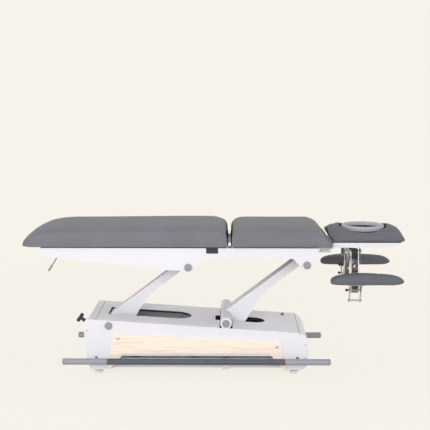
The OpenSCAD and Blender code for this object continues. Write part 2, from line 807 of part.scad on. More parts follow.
// Fork brackets beside each leg ear, with the hinge pin through them
module leg_hinge_pins() {
  color(steel) both() for (s = [-1, 1]) {
    y = leg_ear_y + s*(ear_t + bracket_play);
    bar_across(hinge_x, hinge_z, knuckle_r, y - ear_t/2, y + ear_t/2);
    block([hinge_x, y - ear_t/2, board_z - leg_tube], [torso_cross_xs[0], y + ear_t/2, board_z - frame_gap]);
    if (s > 0) bar_across(hinge_x, hinge_z, leg_pin_r, leg_ear_y - ear_t, y);
  }
}
module name_badge() {
  tag = [62, 1.5, 28];
  tag_x = -35;
  tag_r = 6;
  color("midnightblue") translate([tag_x, 0, deck_z - frame_gap - tag.z])
    across(-frame_half - tag.y, -frame_half)
    polygon(rounded([[0, 0, tag_r], [tag.x, 0, tag_r], [tag.x, tag.z, 0], [0, tag.z, 0]]));
}

// Cushions

// Section of a cushion across the table: flat underside, bulging sides and crowned top
function section(w, z0, z1, inward, power, drop) =
  let (zs = z0 + (z1 - z0)*belly_share, n = top_count)
  concat(
    [[0, z0], [w - inward, z0], [w - inward/4, (z0 + zs)/2]],
    [for (i = [0:n]) let (a = 180*i/n, c = cos(a), s = sin(a),
       y = w*sign(c)*pow(abs(c), 2/power), top = zs + (z1 - zs)*pow(s, 2/power))
       [y, top - drop*(y/w)*(y/w)*s]],
    [[inward/4 - w, (z0 + zs)/2], [inward - w, z0]]);
// Closed skin through sections that all have the same number of points
module skin(xs, rings) {
  m = len(rings[0]);
  n = len(rings);
  polyhedron(
    points = [for (k = [0:n - 1], p = rings[k]) [xs[k], p.x, p.y]],
    faces = concat(
      [for (i = [1:m - 2]) [0, i, i + 1]],
      [for (i = [1:m - 2]) [(n - 1)*m, (n - 1)*m + i + 1, (n - 1)*m + i]],
      [for (k = [0:n - 2], i = [0:m - 1]) let (j = (i + 1) % m)
        each [[k*m + i, (k + 1)*m + i, (k + 1)*m + j], [k*m + i, (k + 1)*m + j, k*m + j]]]));
}
// Stations are [x, lower height, upper height, half width]
module cushion(stations, inward, power, drop) {
  skin([for (s = stations) s[0]],
    [for (s = stations) section(s[3], s[1], s[2], min(inward, (s[2] - s[1])/4), power,
      min(drop, (s[2] - s[1])/6))]);
}
module leg_cushion() {
  w = top_w/2;
  x1 = hinge_x - joint_gap;
  x0 = x1 - leg_len;
  run = leg_len - nose_len - joint_len;
  color(cushion_grey) cushion(concat(
    [for (s = nose_shares) [x0 + s[0]*nose_len, deck_z + s[1]*cushion_h, deck_z + s[2]*cushion_h, w - s[3]*nose_in]],
    [for (i = [1:5]) let (t = i/6) [x0 + nose_len + t*run, deck_z, deck_z + cushion_h, w - waist_in*sin(180*t)]],
    [for (s = leg_joint_shares) [x1 - s[0]*joint_len, deck_z + s[1]*cushion_h, deck_z + s[2]*cushion_h,
      w - s[3]*joint_in]]), draw_in, big_power, crown_drop);
}
module torso_cushion() {
  w = top_w/2;
  x1 = torso_x + torso_len;
  run = torso_len - slope_len - joint_len;
  color(cushion_grey) cushion(concat(
    [for (s = torso_joint_shares) [torso_x + s[0]*joint_len, deck_z + s[1]*cushion_h, deck_z + s[2]*cushion_h,
      w - s[3]*joint_in]],
    [for (i = [1:3]) let (t = i/4) [torso_x + joint_len + t*run, deck_z, deck_z + cushion_h, w - waist_in*sin(180*t)]],
    [for (s = slope_shares) [x1 - s[0]*slope_len, deck_z + s[1]*cushion_h, deck_z + s[2]*cushion_h,
      w - s[3]*joint_in]]), draw_in, big_power, crown_drop);
}

// Leg section

module leg_frame() {
  z0 = board_z - leg_tube;
  half = leg_tube_y - leg_tube/2;
  lug_x = lever_pivot.x + lug_half*2;
  color(frame_white) {
    both() {
      block([leg_frame_x, half, z0], [leg_frame_end, half + leg_tube, board_z]);
      difference() {
        union() {
          bar_across(hinge_x, hinge_z, knuckle_r, leg_ear_y - ear_t/2, leg_ear_y + ear_t/2);
          block([leg_frame_end - weld, leg_ear_y - ear_t/2, z0], [hinge_x, leg_ear_y + ear_t/2, board_z]);
        }
        bar_across(hinge_x, hinge_z, leg_pin_r + fit_gap, 0, frame_half);
      }
    }
    for (x = leg_cross_xs) block([x, -half - weld, z0], [x + leg_tube, half + weld, board_z]);
    for (s = [-1, 1]) across(lever_y + s*(lug_half + lug_t/2 + bracket_play) - lug_t/2,
        lever_y + s*(lug_half + lug_t/2 + bracket_play) + lug_t/2)
      difference() {
        polygon([[leg_frame_x, z0 + weld], [leg_frame_x, z0], [lever_pivot.x - 2*lever_boss_r, z0 - 2*lever_pivot.y],
          [lug_x, z0 - 2*lever_pivot.y], [lug_x, z0], [leg_frame_x + leg_tube, z0 + weld]]);
        translate([lever_pivot.x, z0 - lever_pivot.y]) circle(lever_pin_r + fit_gap);
      }
  }
}
module leg_board() {
  color(dark_grey) block([hinge_x - board_back - leg_board_len, -board_half, board_z],
    [hinge_x - board_back, board_half, deck_z]);
}
// Lever of the leg section's lock, pointing down and towards the foot end
module release_lever() {
  z = board_z - leg_tube - lever_pivot.y;
  run = norm([lever_back, lever_drop]);
  color(dark_grey) {
    bar_across(lever_pivot.x, z, lever_boss_r, lever_y - lug_half, lever_y + lug_half);
    bar_across(lever_pivot.x, z, lever_pin_r, lever_y - lug_half - lug_t - bracket_play,
      lever_y + lug_half + lug_t + bracket_play);
    translate([lever_pivot.x, lever_y, z]) rotate([0, 180 + atan(lever_back/lever_drop), 0]) {
      cylinder(r = lever_r, h = run - lever_grip_len);
      translate([0, 0, run - lever_grip_len]) cylinder(r = lever_grip_r, h = lever_grip_len);
    }
  }
}

// Head section

function oval(a, b, n = 48) = [for (i = [0:n - 1]) [a*cos(360*i/n), b*sin(360*i/n)]];
module head_tray() {
  z0 = deck_z + head_rise - tray_h;
  x1 = tray_x + tray_len;
  color(frame_white) difference() {
    union() {
      difference() {
        across(-tray_half, tray_half) polygon([[tray_x, z0], [tray_x + tray_len*tray_flat_share, z0],
          [x1, tray_z1 - 2*tray_top_t], [x1, tray_z1], [tray_x, tray_z1]]);
        block([tray_x + sheet_t, sheet_t - tray_half, z0 - over], [x1 - sheet_t, tray_half - sheet_t, tray_z1 - tray_top_t]);
      }
      both() for (s = [-1, 1]) {
        y = head_arm_y + s*(head_arm_t/2 + head_play + head_ear_t/2);
        bar_across(head_pin_x, head_pin_z, head_eye_r, y - head_ear_t/2, y + head_ear_t/2);
        across(y - head_ear_t/2, y + head_ear_t/2) polygon([[head_pin_x, head_pin_z - head_eye_r],
          [tray_x, head_pin_z - head_eye_r], [tray_x, head_pin_z + head_eye_r + head_ear_t/2],
          [head_pin_x, head_pin_z + head_eye_r]]);
      }
    }
    translate([ring_x, 0, z0]) linear_extrude(tray_h + over) polygon(oval(ring_a - ring_w, ring_b - ring_w));
    both() bar_across(head_pin_x, head_pin_z, head_pin_r + fit_gap, 0, tray_half);
  }
}
module head_hinge_pins() {
  reach = head_arm_t/2 + head_play + head_ear_t;
  color(steel) both() bar_across(head_pin_x, head_pin_z, head_pin_r, head_arm_y - reach, head_arm_y + reach);
}
module head_cushion() {
  color(cushion_grey) difference() {
    cushion([for (s = concat(head_left_shares, head_right_shares))
      [head_x + s[0]*head_len, tray_z1 + s[1]*head_h, tray_z1 + s[2]*head_h, head_w/2 - s[3]*head_in]],
      draw_in, big_power, crown_drop);
    translate([ring_x, 0, tray_z1 - over]) linear_extrude(head_h + 2*over)
      polygon(oval(ring_a + soft_gap, ring_b + soft_gap));
  }
}
// Upholstered ring: a rounded section swept round an oval
module face_ring() {
  r = ring_w/2;
  profile = concat([[r, 0], [r, ring_h - r]],
    [for (i = [1:5]) [r*cos(30*i), ring_h - r + r*sin(30*i)]], [[-r, ring_h - r], [-r, 0]]);
  m = len(profile);
  n = ring_count;
  color(light_grey) translate([ring_x, 0, tray_z1 + soft_gap]) polyhedron(
    points = [for (k = [0:n - 1], p = profile) let (t = 360*k/n)
      [(ring_a - r + p.x)*cos(t), (ring_b - r + p.x)*sin(t), p.y]],
    faces = [for (k = [0:n - 1], i = [0:m - 1]) let (l = (k + 1) % n, j = (i + 1) % m)
      each [[k*m + i, k*m + j, l*m + j], [k*m + i, l*m + j, l*m + i]]]);
}

// Armrests: pieces of one linkage in the plane across the table, for the far side

a2 = [pivot_y, deck_z - pivot_drop];
a1 = a2 + [upper_out, upper_up];
function swing(angle) = link_len*[sin(angle), -cos(angle)];
// Places a profile of Y and Z on both sides of the linkage's middle, from one depth to another
module cheeks(from, to) {
  lengthwise(rest_x - to, rest_x - from) children();
  lengthwise(rest_x + from, rest_x + to) children();
}
module rest_bolt(p) {
  reach = cheek_in + plate_t;
  bar_along(p.x, p.y, bolt_r, rest_x - reach - bolt_head_t, rest_x + reach + bolt_head_t);
  for (s = [0, 1]) bar_along(p.x, p.y, bolt_head_r, rest_x + (s > 0 ? reach : -reach - bolt_head_t),
    rest_x + (s > 0 ? reach + bolt_head_t : -reach));
}
module bracket() {
  top = tray_z1 - tray_top_t;
  color(steel) {
    cheeks(cheek_in, cheek_in + plate_t) polygon(rounded([[a2.x - eye_r - plate_t, top - plate_t, 0],
      [a2.x - eye_r - plate_t, a2.y - eye_r, eye_r], [a2.x + eye_r + plate_t, a2.y - eye_r, eye_r],
      [a1.x + eye_r + plate_t, a1.y, eye_r], [a1.x + eye_r + plate_t, top - plate_t, 0]]));
    block([rest_x - cheek_in - plate_t, a2.x - eye_r - plate_t, top - plate_t],
      [rest_x + cheek_in + plate_t, a1.x + eye_r + plate_t, top]);
    rest_bolt(a1);
    rest_bolt(a2);
  }
}
module armrest_bracket_near() { near() bracket(); }
module armrest_bracket_far() { bracket(); }
// Strap with an eye at each end, along +X from the origin
module strap(half, r) {
  difference() {
    union() {
      translate([0, -half]) square([link_len, 2*half]);
      circle(r);
      translate([link_len, 0]) circle(r);
    }
    circle(bolt_r + fit_gap);
    translate([link_len, 0]) circle(bolt_r + fit_gap);
  }
}
module upper_link(angle) {
  mid = a1 + swing(angle)/2;
  color(steel) {
    cheeks(upper_in, upper_in + plate_t) translate(a1) rotate(angle - 90) strap(upper_half, eye_r);
    bar_along(mid.x, mid.y, tie_r, rest_x - upper_in - plate_t/2, rest_x + upper_in + plate_t/2);
  }
}
module lower_link(angle) {
  hole_r = 6;
  hole_tip = 22;
  half = lower_in + plate_t/2;
  color(steel) {
    cheeks(lower_in, lower_in + plate_t) translate(a2) rotate(angle - 90) strap(lower_half, eye_r);
    translate([rest_x, a2.x, a2.y]) rotate([angle, 0, 0]) difference() {
      block([-half, -web_t/2, web_ends - link_len], [half, web_t/2, -web_ends]);
      translate([0, 0, -link_len/2]) {
        bar_across(0, 0, hole_r, -over, over);
        across(-over, over) polygon([[-hole_r, 0], [hole_r, 0], [0, hole_tip]]);
      }
    }
  }
}
module carrier(angle) {
  b2 = a2 + swing(angle);
  b1 = b2 + [upper_out, upper_up];
  plate_z = pad_rise - pad_plate_t;
  reach = pad_out + pad_w*0.62;
  color(steel) {
    cheeks(cheek_in, cheek_in + plate_t) translate(b2)
      polygon(rounded([[-eye_r, -eye_r, eye_r/2], [eye_r, -eye_r, eye_r/2], [reach*0.55, pad_rise*0.55, eye_r],
        [reach, plate_z - eye_r/2, 0], [reach, plate_z, 0], [pad_out, plate_z, 0],
        [upper_out - eye_r, upper_up + eye_r, eye_r/2]]));
    block([rest_x - pad_plate_half, b2.x + pad_out, b2.y + plate_z],
      [rest_x + pad_plate_half, b2.x + reach, b2.y + pad_rise]);
    rest_bolt(b1);
    rest_bolt(b2);
  }
}
module pad(angle) {
  b2 = a2 + swing(angle);
  z = b2.y + pad_rise;
  color(cushion_grey) translate([0, b2.x + pad_out + pad_w/2, 0])
    cushion([for (s = pad_shares) [pad_x + s[0]*pad_len, z + s[1]*pad_h, z + s[2]*pad_h, pad_w/2 - s[3]*pad_in]],
      draw_in, pad_power, 0);
}
module knob(angle) {
  b1 = a2 + swing(angle) + [upper_out, upper_up];
  x1 = rest_x - cheek_in - plate_t - bolt_head_t;
  color(black) translate([x1, b1.x, b1.y]) rotate([0, -90, 0]) rotate_extrude()
    polygon([[0, 0], [knob_r*0.6, 0], [knob_r, knob_t*0.3], [knob_r, knob_t*0.8], [knob_r*0.8, knob_t], [0, knob_t]]);
}
module upper_link_near() { near() upper_link(near_angle); }
module lower_link_near() { near() lower_link(near_angle); }
module carrier_near() { near() carrier(near_angle); }
module pad_near() { near() pad(near_angle); }
module knob_near() { near() knob(near_angle); }
module upper_link_far() { upper_link(far_angle); }
module lower_link_far() { lower_link(far_angle); }
module carrier_far() { carrier(far_angle); }
module pad_far() { pad(far_angle); }
module knob_far() { knob(far_angle); }

// Foot bars

bar_wall = 1.5;
sleeve_wall = 1.5;
tread_shares = [[0.1075, 0.103, 1], [0.8905, 0.8975, 1]];
// Zone of the dark sleeve, with ends parallel to the wooden panel's edges
module tread_zone() {
  across(bar_y - 2*bar_r, bar_y + 2*bar_r) polygon([
    [along(tread_shares[0].y), bar_z - 2*bar_r], [along(tread_shares[1].y), bar_z - 2*bar_r],
    [along(tread_shares[1].x), bar_z + 2*bar_r], [along(tread_shares[0].x), bar_z + 2*bar_r]]);
}
module foot_bar() {
  arm_h = 20;
  cap = 3;
  difference() {
    union() {
      difference() {
        bar_along(bar_y, bar_z, bar_r, bar_x0, bar_x1);
        intersection() {
          difference() {
            bar_along(bar_y, bar_z, bar_r + over, bar_x0, bar_x1);
            bar_along(bar_y, bar_z, bar_r - sleeve_wall, bar_x0 - over, bar_x1 + over);
          }
          tread_zone();
        }
      }
      for (x = stub_xs) {
        block([x - arm_stub_t/2, stub_y, bar_z - arm_h/2], [x + arm_stub_t/2, bar_y - bar_r/2, bar_z + arm_h/2]);
        bar_along(stub_y, bar_z, arm_h/2, x - arm_stub_t/2, x + arm_stub_t/2);
        bar_along(stub_y, bar_z, stub_r, x - stub_reach, x + stub_reach);
      }
    }
    bar_along(bar_y, bar_z, bar_r - sleeve_wall - bar_wall, bar_x0 + cap, bar_x1 - cap);
  }
}
module foot_bar_near() { color(light_grey) near() foot_bar(); }
module foot_bar_far() { color(light_grey) foot_bar(); }
module bar_sleeve() {
  intersection() {
    difference() {
      bar_along(bar_y, bar_z, bar_r, bar_x0, bar_x1);
      bar_along(bar_y, bar_z, bar_r - sleeve_wall, bar_x0 - over, bar_x1 + over);
    }
    tread_zone();
  }
}
module bar_sleeve_near() { color(dark_grey) near() bar_sleeve(); }
module bar_sleeve_far() { color(dark_grey) bar_sleeve(); }

// T-handle of the base's lock

module lock_handle() {
  collar_t = 4;
  color(black) handle_axis() {
    translate([0, 0, -handle_in]) cylinder(r = handle_r, h = handle_in + handle_len);
    translate([0, 0, handle_boss_t + side_play]) cylinder(r = handle_boss_r - collar_t/2, h = collar_t);
    translate([-crossbar_half, 0, handle_len]) rotate([0, 90, 0]) cylinder(r = handle_r, h = 2*crossbar_half);
  }
}

base_chassis();
base_side_near();
base_side_far();
base_top_cover();
end_cover_foot();
end_cover_head();
wood_panel_near();
wood_panel_far();
panel_screws();
levelling_feet();
lower_axles();
base_pivot_caps();
lift_motor();
control_box();
bar_bearings();
bar_switches();
cover_socket();
lift_rod();
left_arm();
right_arm();
frame_side_near();
frame_side_far();
frame_crossmembers();
upper_axles();
frame_pivot_caps();
torso_board();
torso_cushion();
name_badge();
leg_hinge_pins();
leg_frame();
leg_board();
leg_cushion();
release_lever();
head_tray();
head_cushion();
face_ring();
head_hinge_pins();
armrest_bracket_near();
armrest_bracket_far();
upper_link_near();
lower_link_near();
carrier_near();
pad_near();
knob_near();
upper_link_far();
lower_link_far();
carrier_far();
pad_far();
knob_far();
foot_bar_near();
foot_bar_far();
bar_sleeve_near();
bar_sleeve_far();
lock_handle();
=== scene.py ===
"""Upholstery, finishes, small fittings and studio of a chiropractic table, built round its fixed CAD frame."""

import math

import bmesh
import bpy
from bpy.props import FloatProperty, FloatVectorProperty, PointerProperty
from mathutils import Matrix, Vector


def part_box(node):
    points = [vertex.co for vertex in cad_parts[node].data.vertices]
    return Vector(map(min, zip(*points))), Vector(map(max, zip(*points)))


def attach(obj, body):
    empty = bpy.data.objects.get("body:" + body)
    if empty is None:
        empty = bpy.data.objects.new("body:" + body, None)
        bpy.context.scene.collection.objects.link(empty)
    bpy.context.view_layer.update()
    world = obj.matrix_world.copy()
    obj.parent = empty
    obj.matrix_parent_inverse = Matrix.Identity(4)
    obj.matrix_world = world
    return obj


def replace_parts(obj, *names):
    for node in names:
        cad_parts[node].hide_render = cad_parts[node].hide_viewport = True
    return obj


bl_info = {
    "name": "Chiropractic Table",
    "version": (1, 0, 0),
    "blender": (4, 5, 0),
    "location": "View3D > Sidebar > Table",
    "description": "Upholsters and finishes a chiropractic table and sets it in a plain studio",
    "category": "Add Mesh",
}

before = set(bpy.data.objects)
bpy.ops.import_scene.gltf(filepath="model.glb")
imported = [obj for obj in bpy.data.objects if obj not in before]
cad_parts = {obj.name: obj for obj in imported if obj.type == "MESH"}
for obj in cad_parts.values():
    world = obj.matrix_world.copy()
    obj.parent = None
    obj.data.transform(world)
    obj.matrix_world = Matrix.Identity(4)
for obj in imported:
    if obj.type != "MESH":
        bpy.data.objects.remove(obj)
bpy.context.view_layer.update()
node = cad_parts

WHITE = (1.0, 1.0, 1.0, 1.0)
CAMERA_AT = (0.0836, -6.1377, 1.5357)
# Sloping cover of the base: its foot edge, its height there, its fall along the table and its two joints
COVER_FOOT = -0.65806
COVER_TOP = 0.298
COVER_SLOPE = 0.0637
SEAM_FOOT = -0.61804
SEAM_HEAD = 0.45492
# Arm slots: start, end, half width and radius of the round tip; the cross tube's gap opens into the right one
SLOT_LEFT = (-0.56684, -0.18484, 0.093, 0.0996)
SLOT_RIGHT = (0.009966, 0.229966, 0.065, 0.06725)
TUBE_GAP_END = 0.10237
# Root and slope of the T-handle, how far out its crossbar sits, and radius of a levelling foot
HANDLE_ROOT = (-0.66869, -0.23, 0.27917)
HANDLE_ANGLE = math.radians(34.6)
HANDLE_OUT = 0.039
FOOT_RADIUS = 0.024
# Height of the foam of the long cushions and of the head cushion, and half the head cushion's crowned width
LONG_FOAM = 0.107
HEAD_FOAM = 0.07
HEAD_HALF = 0.137
# How squarely a face looks into the joint of the long cushions to be painted dark there, as painted shade in the joint
END_FACING = 0.86
# Face ring: middle, half axes of its centre line and of the hole it sits in, and radius and height of its roll
RING_X = 0.8067
RING_LINE = (0.1105, 0.122)
HOLE_LINE = tuple(half + 0.017 for half in RING_LINE)
ROLL_RADIUS = 0.0145
ROLL_Z = 0.761
# Height below which the ring's cover is painted dark, as painted shade under its roll, on its inside and on its outside
ROLL_FOOT = (0.753, 0.747)
# Armrests: middle across their links, and the pivots (y, z) on the head and on the carrier
ARM_X = 0.750
PIVOTS = {
    "near": ((-0.138, 0.645), (-0.126, 0.588), (-0.1812, 0.4415), (-0.1692, 0.3845)),
    "far": ((0.138, 0.645), (0.126, 0.588), (0.2398, 0.4636), (0.2278, 0.4066)),
}


def linear(code):
    """sRGB hex code as a linear RGBA colour"""
    parts = [int(code[i : i + 2], 16) / 255 for i in (1, 3, 5)]
    return tuple(c / 12.92 if c <= 0.04045 else ((c + 0.055) / 1.055) ** 2.4 for c in parts) + (1.0,)


def swatch(name, description, code):
    """A colour property whose default is an sRGB hex code"""
    return FloatVectorProperty(name=name, description=description, subtype="COLOR", size=3, default=linear(code)[:3],
                               min=0.0, max=1.0)


def length(name, description, default, low, high):
    """A length property in metres"""
    return FloatProperty(name=name, description=description, default=default, min=low, max=high, unit="LENGTH")


def watts(name, description, default):
    """A lamp's power in watts"""
    return FloatProperty(name=name, description=description, default=default, min=0.0, max=5000.0, unit="POWER")


class TableUpholstery(bpy.types.PropertyGroup):
    """Padded covers"""

    long_mesh: length("Long cushion mesh", "Size of a mesh cell on the leg and torso cushions", 0.009, 0.006, 0.02)
    small_mesh: length("Small cushion mesh", "Size of a mesh cell on the head cushion, ring and arm pads",
                       0.005, 0.003, 0.01)
    air: FloatProperty(name="Air pressure", description="Pressure that swells the covers as foam does", default=4.0,
                       min=0.0, max=10.0)
    tuck: length("Tuck", "How far a cover starts inside its foam's form", 0.003, 0.0, 0.01)
    swell: length("Swell", "The most that a point of a cover may move while it swells", 0.004, 0.0, 0.02)
    grey: swatch("Cushion grey", "Colour of the leg and torso cushions", "#7E7F85")
    dark: swatch("Head grey", "Colour of the head cushion and the arm pads", "#6D6E75")
    light: swatch("Ring grey", "Colour of the face ring", "#B9B7BB")


class TablePaint(bpy.types.PropertyGroup):
    """Powder coats, plastics and wood"""

    white: swatch("Frame white", "Powder coat of the frame, arms and base", "#EBEAEE")
    # The covers are the frame's white made lighter, painted light that makes up for the shade under the table
    cover: swatch("Cover white", "Powder coat of the base's covers", "#FBFAFD")
    bars: swatch("Bar grey", "Powder coat of the foot bars", "#9C9CA4")
    caps: swatch("Cap grey", "Moulded caps over the axles", "#96989F")
    ash: swatch("Ash", "Veneer of the wooden panels", "#FFF1E0")


class TableFittings(bpy.types.PropertyGroup):
    """Screws, seams and end caps"""

    screw: length("Screw head radius", "Radius of the button heads on the side plates", 0.0042, 0.002, 0.008)
    seam: length("Seam width", "Width of the joint between the covers", 0.0022, 0.0005, 0.005)
    cap_rim: length("Bar cap rim", "Length of the rounded cap on a foot bar's end", 0.014, 0.005, 0.03)
    # Black edging in the slots, whose black is partly painted shade at the slots' edges
    edging: length("Slot edging depth", "Depth of the rubber edging in the arm slots", 0.011, 0.004, 0.012)
    handle_r: length("T-handle radius", "Radius of the handle's crossbar", 0.0098, 0.006, 0.012)
    handle_half: length("T-handle half length", "Half the length of the handle's crossbar", 0.0255, 0.02, 0.028)


class TableStudio(bpy.types.PropertyGroup):
    """Camera, floor and light"""

    ground: swatch("Background", "Colour of the floor and the backdrop", "#F7F3EA")
    lens: FloatProperty(name="Lens", description="Focal length in millimetres", default=95.48, min=20.0, max=300.0)
    tilt: FloatProperty(name="Tilt", description="How far the camera looks down", default=math.radians(6.658),
                        min=0.0, max=1.0, subtype="ANGLE")
    turn: FloatProperty(name="Turn", description="How far the camera turns aside", default=0.0124, min=-1.0, max=1.0,
                        subtype="ANGLE")
    front: watts("Front light", "Power of the large light beside the camera", 125.0)
    top: watts("Top light", "Power of the large light above", 15.0)
    sky: FloatProperty(name="Room light", description="Strength of the light from all round at eye level",
                       default=1.25, min=0.0, max=5.0)


# Materials


def feed(tree, made, feeds):
    """Gives a node's inputs their values or links; a node as value stands for its first output in use"""
    for name, value in feeds.items():
        if isinstance(value, bpy.types.Node):
            value = next(out for out in value.outputs if out.enabled)
        if isinstance(value, bpy.types.NodeSocket):
            tree.links.new(value, made.inputs[name])
        else:
            made.inputs[name].default_value = value


def add(tree, kind, feeds=None, stops=None, **settings):
    """Adds a node with its inputs as values or links, the stops of a ramp, and its own settings"""
    made = tree.nodes.new("ShaderNode" + kind)
    for name, value in settings.items():
        setattr(made, name, value)
    feed(tree, made, feeds or {})
    if stops:
        ramp = made.color_ramp.elements
        while len(ramp) < len(stops):
            ramp.new(0.5)
        for element, (place, colour) in zip(ramp, stops):
            element.position = place
            element.color = colour
    return made


def fresh(name):
    """A new material with its tree, its shader and its object coordinates"""
    made = bpy.data.materials.new(name)
    made.use_nodes = True
    tree = made.node_tree
    tree.nodes.clear()
    shader = add(tree, "BsdfPrincipled")
    add(tree, "OutputMaterial", {"Surface": shader})
    place = add(tree, "TexCoord").outputs["Object"]
    return made, tree, shader, place


def shade(colour, *factors):
    """A colour made darker or lighter, by one factor or by one for each channel"""
    red, green, blue = factors if len(factors) == 3 else (factors or (1.0,)) * 3
    return (colour[0] * red, colour[1] * green, colour[2] * blue, 1.0)


def coated_fabric(name, colour, pebble, folds):
    """Upholstery of polyurethane-coated fabric: soft sheen, embossed pebble grain and slack folds"""
    made, tree, shader, place = fresh(name)
    # Grain of about 1 mm on the real cloth, drawn 2.5 mm wide so that it shows in the picture
    grain = add(tree, "TexVoronoi", {"Vector": place, "Scale": 1 / pebble, "Smoothness": 0.4}, feature="SMOOTH_F1")
    fine = add(tree, "TexNoise", {"Vector": place, "Scale": 900.0, "Detail": 2.0})
    # Slack in the cover, in folds some 60 mm apart
    slack = add(tree, "TexNoise", {"Vector": place, "Scale": folds, "Detail": 2.0, "Roughness": 0.4})
    cloud = add(tree, "TexNoise", {"Vector": place, "Scale": 5.0, "Detail": 3.0})
    tone = add(tree, "ValToRGB", {"Fac": cloud}, [(0.3, shade(colour, 0.93)), (0.7, shade(colour, 1.05))])
    # The hollows of the grain are painted darker, painted shade
    pit_shade = add(tree, "ValToRGB", {"Fac": grain}, [(0.0, WHITE), (0.75, shade(WHITE, 0.84))])
    mixed = add(tree, "Mix", {"Factor": 0.6, "A": tone, "B": pit_shade}, data_type="RGBA", blend_type="MULTIPLY")
    sheen = add(tree, "MapRange", {"Value": cloud, "To Min": 0.52, "To Max": 0.62})
    low = add(tree, "Bump", {"Height": slack, "Strength": 0.25, "Distance": 0.004})
    mid = add(tree, "Bump", {"Height": grain, "Strength": 0.3, "Distance": 0.0004, "Normal": low}, invert=True)
    top = add(tree, "Bump", {"Height": fine, "Strength": 0.1, "Distance": 0.0002, "Normal": mid})
    feed(tree, shader, {"Base Color": mixed, "Roughness": sheen, "Normal": top, "IOR": 1.47,
                        "Specular IOR Level": 0.16})
    return made


def powder_coat(name, colour, rough=0.42):
    """Steel sheet and tube in baked powder coat: even colour, satin and a faint orange peel"""
    made, tree, shader, place = fresh(name)
    # Orange peel of about 2 mm, drawn 4 mm wide
    peel = add(tree, "TexNoise", {"Vector": place, "Scale": 250.0, "Detail": 2.0, "Roughness": 0.5})
    cloud = add(tree, "TexNoise", {"Vector": place, "Scale": 3.0, "Detail": 2.0})
    tone = add(tree, "ValToRGB", {"Fac": cloud}, [(0.3, shade(colour, 0.975)), (0.7, shade(colour, 1.01))])
    gloss = add(tree, "MapRange", {"Value": peel, "To Min": rough - 0.04, "To Max": rough + 0.05})
    bump = add(tree, "Bump", {"Height": peel, "Strength": 0.06, "Distance": 0.0005})
    feed(tree, shader, {"Base Color": tone, "Roughness": gloss, "Normal": bump, "IOR": 1.5})
    return made


def ash_veneer(name, colour):
    """Ash-faced plywood in clear satin lacquer: long pale grain with cathedral figures and fine pores"""
    made, tree, shader, place = fresh(name)
    # Growth rings 6 to 10 mm apart that run along X and bend slowly
    bent = add(tree, "TexNoise", {"Vector": place, "Scale": 2.2, "Detail": 1.0})
    push = add(tree, "Mix", {"Factor": 0.012, "A": place, "B": bent.outputs["Color"]}, data_type="VECTOR")
    long = add(tree, "Mapping", {"Vector": push, "Scale": (0.06, 1.0, 1.0)})
    rings = add(tree, "TexNoise", {"Vector": long, "Scale": 95.0, "Detail": 4.0, "Roughness": 0.55})
    # Pores are short dark strokes, 0.5 mm wide and 12 mm long, drawn 1 mm wide
    thin = add(tree, "Mapping", {"Vector": place, "Scale": (0.07, 1.0, 1.0)})
    pores = add(tree, "TexNoise", {"Vector": thin, "Scale": 900.0, "Detail": 1.0})
    tone = add(tree, "ValToRGB", {"Fac": rings},
               [(0.36, shade(colour, 1.04)), (0.52, shade(colour)), (0.62, shade(colour, 0.93, 0.86, 0.76)),
                (0.7, shade(colour))])
    specks = add(tree, "ValToRGB", {"Fac": pores}, [(0.3, shade(WHITE, 0.86, 0.8, 0.72)), (0.42, WHITE)])
    mixed = add(tree, "Mix", {"Factor": 0.5, "A": tone, "B": specks}, data_type="RGBA", blend_type="MULTIPLY")
    bump = add(tree, "Bump", {"Height": pores, "Strength": 0.08, "Distance": 0.0003})
    feed(tree, shader, {"Base Color": mixed, "Normal": bump, "Roughness": 0.42,
                        "IOR": 1.5, "Coat Weight": 0.15, "Coat Roughness": 0.3})
    return made


def plated_steel(name, colour, rough, grain_x=1.0):
    """Steel in bright plate: mirror-like with faint rub marks"""
    made, tree, shader, place = fresh(name)
    drawn = add(tree, "Mapping", {"Vector": place, "Scale": (grain_x, 1.0, 1.0)})
    marks = add(tree, "TexNoise", {"Vector": drawn, "Scale": 500.0, "Detail": 3.0})
    cloud = add(tree, "TexNoise", {"Vector": place, "Scale": 40.0, "Detail": 2.0})
    gloss = add(tree, "MapRange", {"Value": marks, "To Min": rough * 0.7, "To Max": rough * 1.4})
    tone = add(tree, "ValToRGB", {"Fac": cloud}, [(0.3, shade(colour, 0.9)), (0.7, shade(colour))])
    bump = add(tree, "Bump", {"Height": marks, "Strength": 0.05, "Distance": 0.0002})
    feed(tree, shader, {"Base Color": tone, "Roughness": gloss, "Normal": bump, "Metallic": 1.0})
    return made


def link_plate(name, strap, web_shade, bolt):
    """Zinc-plated straps with their middle painted dark as painted shade between them, and bluish passivated bolts
    outside them
    """
    made, tree, shader, place = fresh(name)
    axes = add(tree, "SeparateXYZ", {0: place})
    off = add(tree, "Math", {0: axes.outputs["X"], 1: ARM_X}, operation="SUBTRACT")
    across = add(tree, "Math", {0: off}, operation="ABSOLUTE")
    part = add(tree, "Math", {0: across, 1: 20.0}, operation="MULTIPLY")
    # The middle between the straps is painted dark, painted shade
    tone = add(tree, "ValToRGB", {"Fac": part},
               [(0.0, shade(web_shade)), (0.355, shade(web_shade)), (0.36, shade(strap)), (0.615, shade(strap)),
                (0.62, shade(bolt))])
    # Spangle of the plate, 4 mm across
    spangle = add(tree, "TexVoronoi", {"Vector": place, "Scale": 250.0})
    marks = add(tree, "TexNoise", {"Vector": place, "Scale": 500.0, "Detail": 3.0})
    patch = add(tree, "ValToRGB", {"Fac": spangle}, [(0.1, WHITE), (0.8, shade(WHITE, 0.86, 0.86, 0.88))])
    mixed = add(tree, "Mix", {"Factor": 0.7, "A": tone, "B": patch}, data_type="RGBA", blend_type="MULTIPLY")
    gloss = add(tree, "MapRange", {"Value": marks, "To Min": 0.28, "To Max": 0.42})
    bump = add(tree, "Bump", {"Height": marks, "Strength": 0.06, "Distance": 0.0002})
    feed(tree, shader, {"Base Color": mixed, "Roughness": gloss, "Normal": bump, "Metallic": 1.0})
    return made


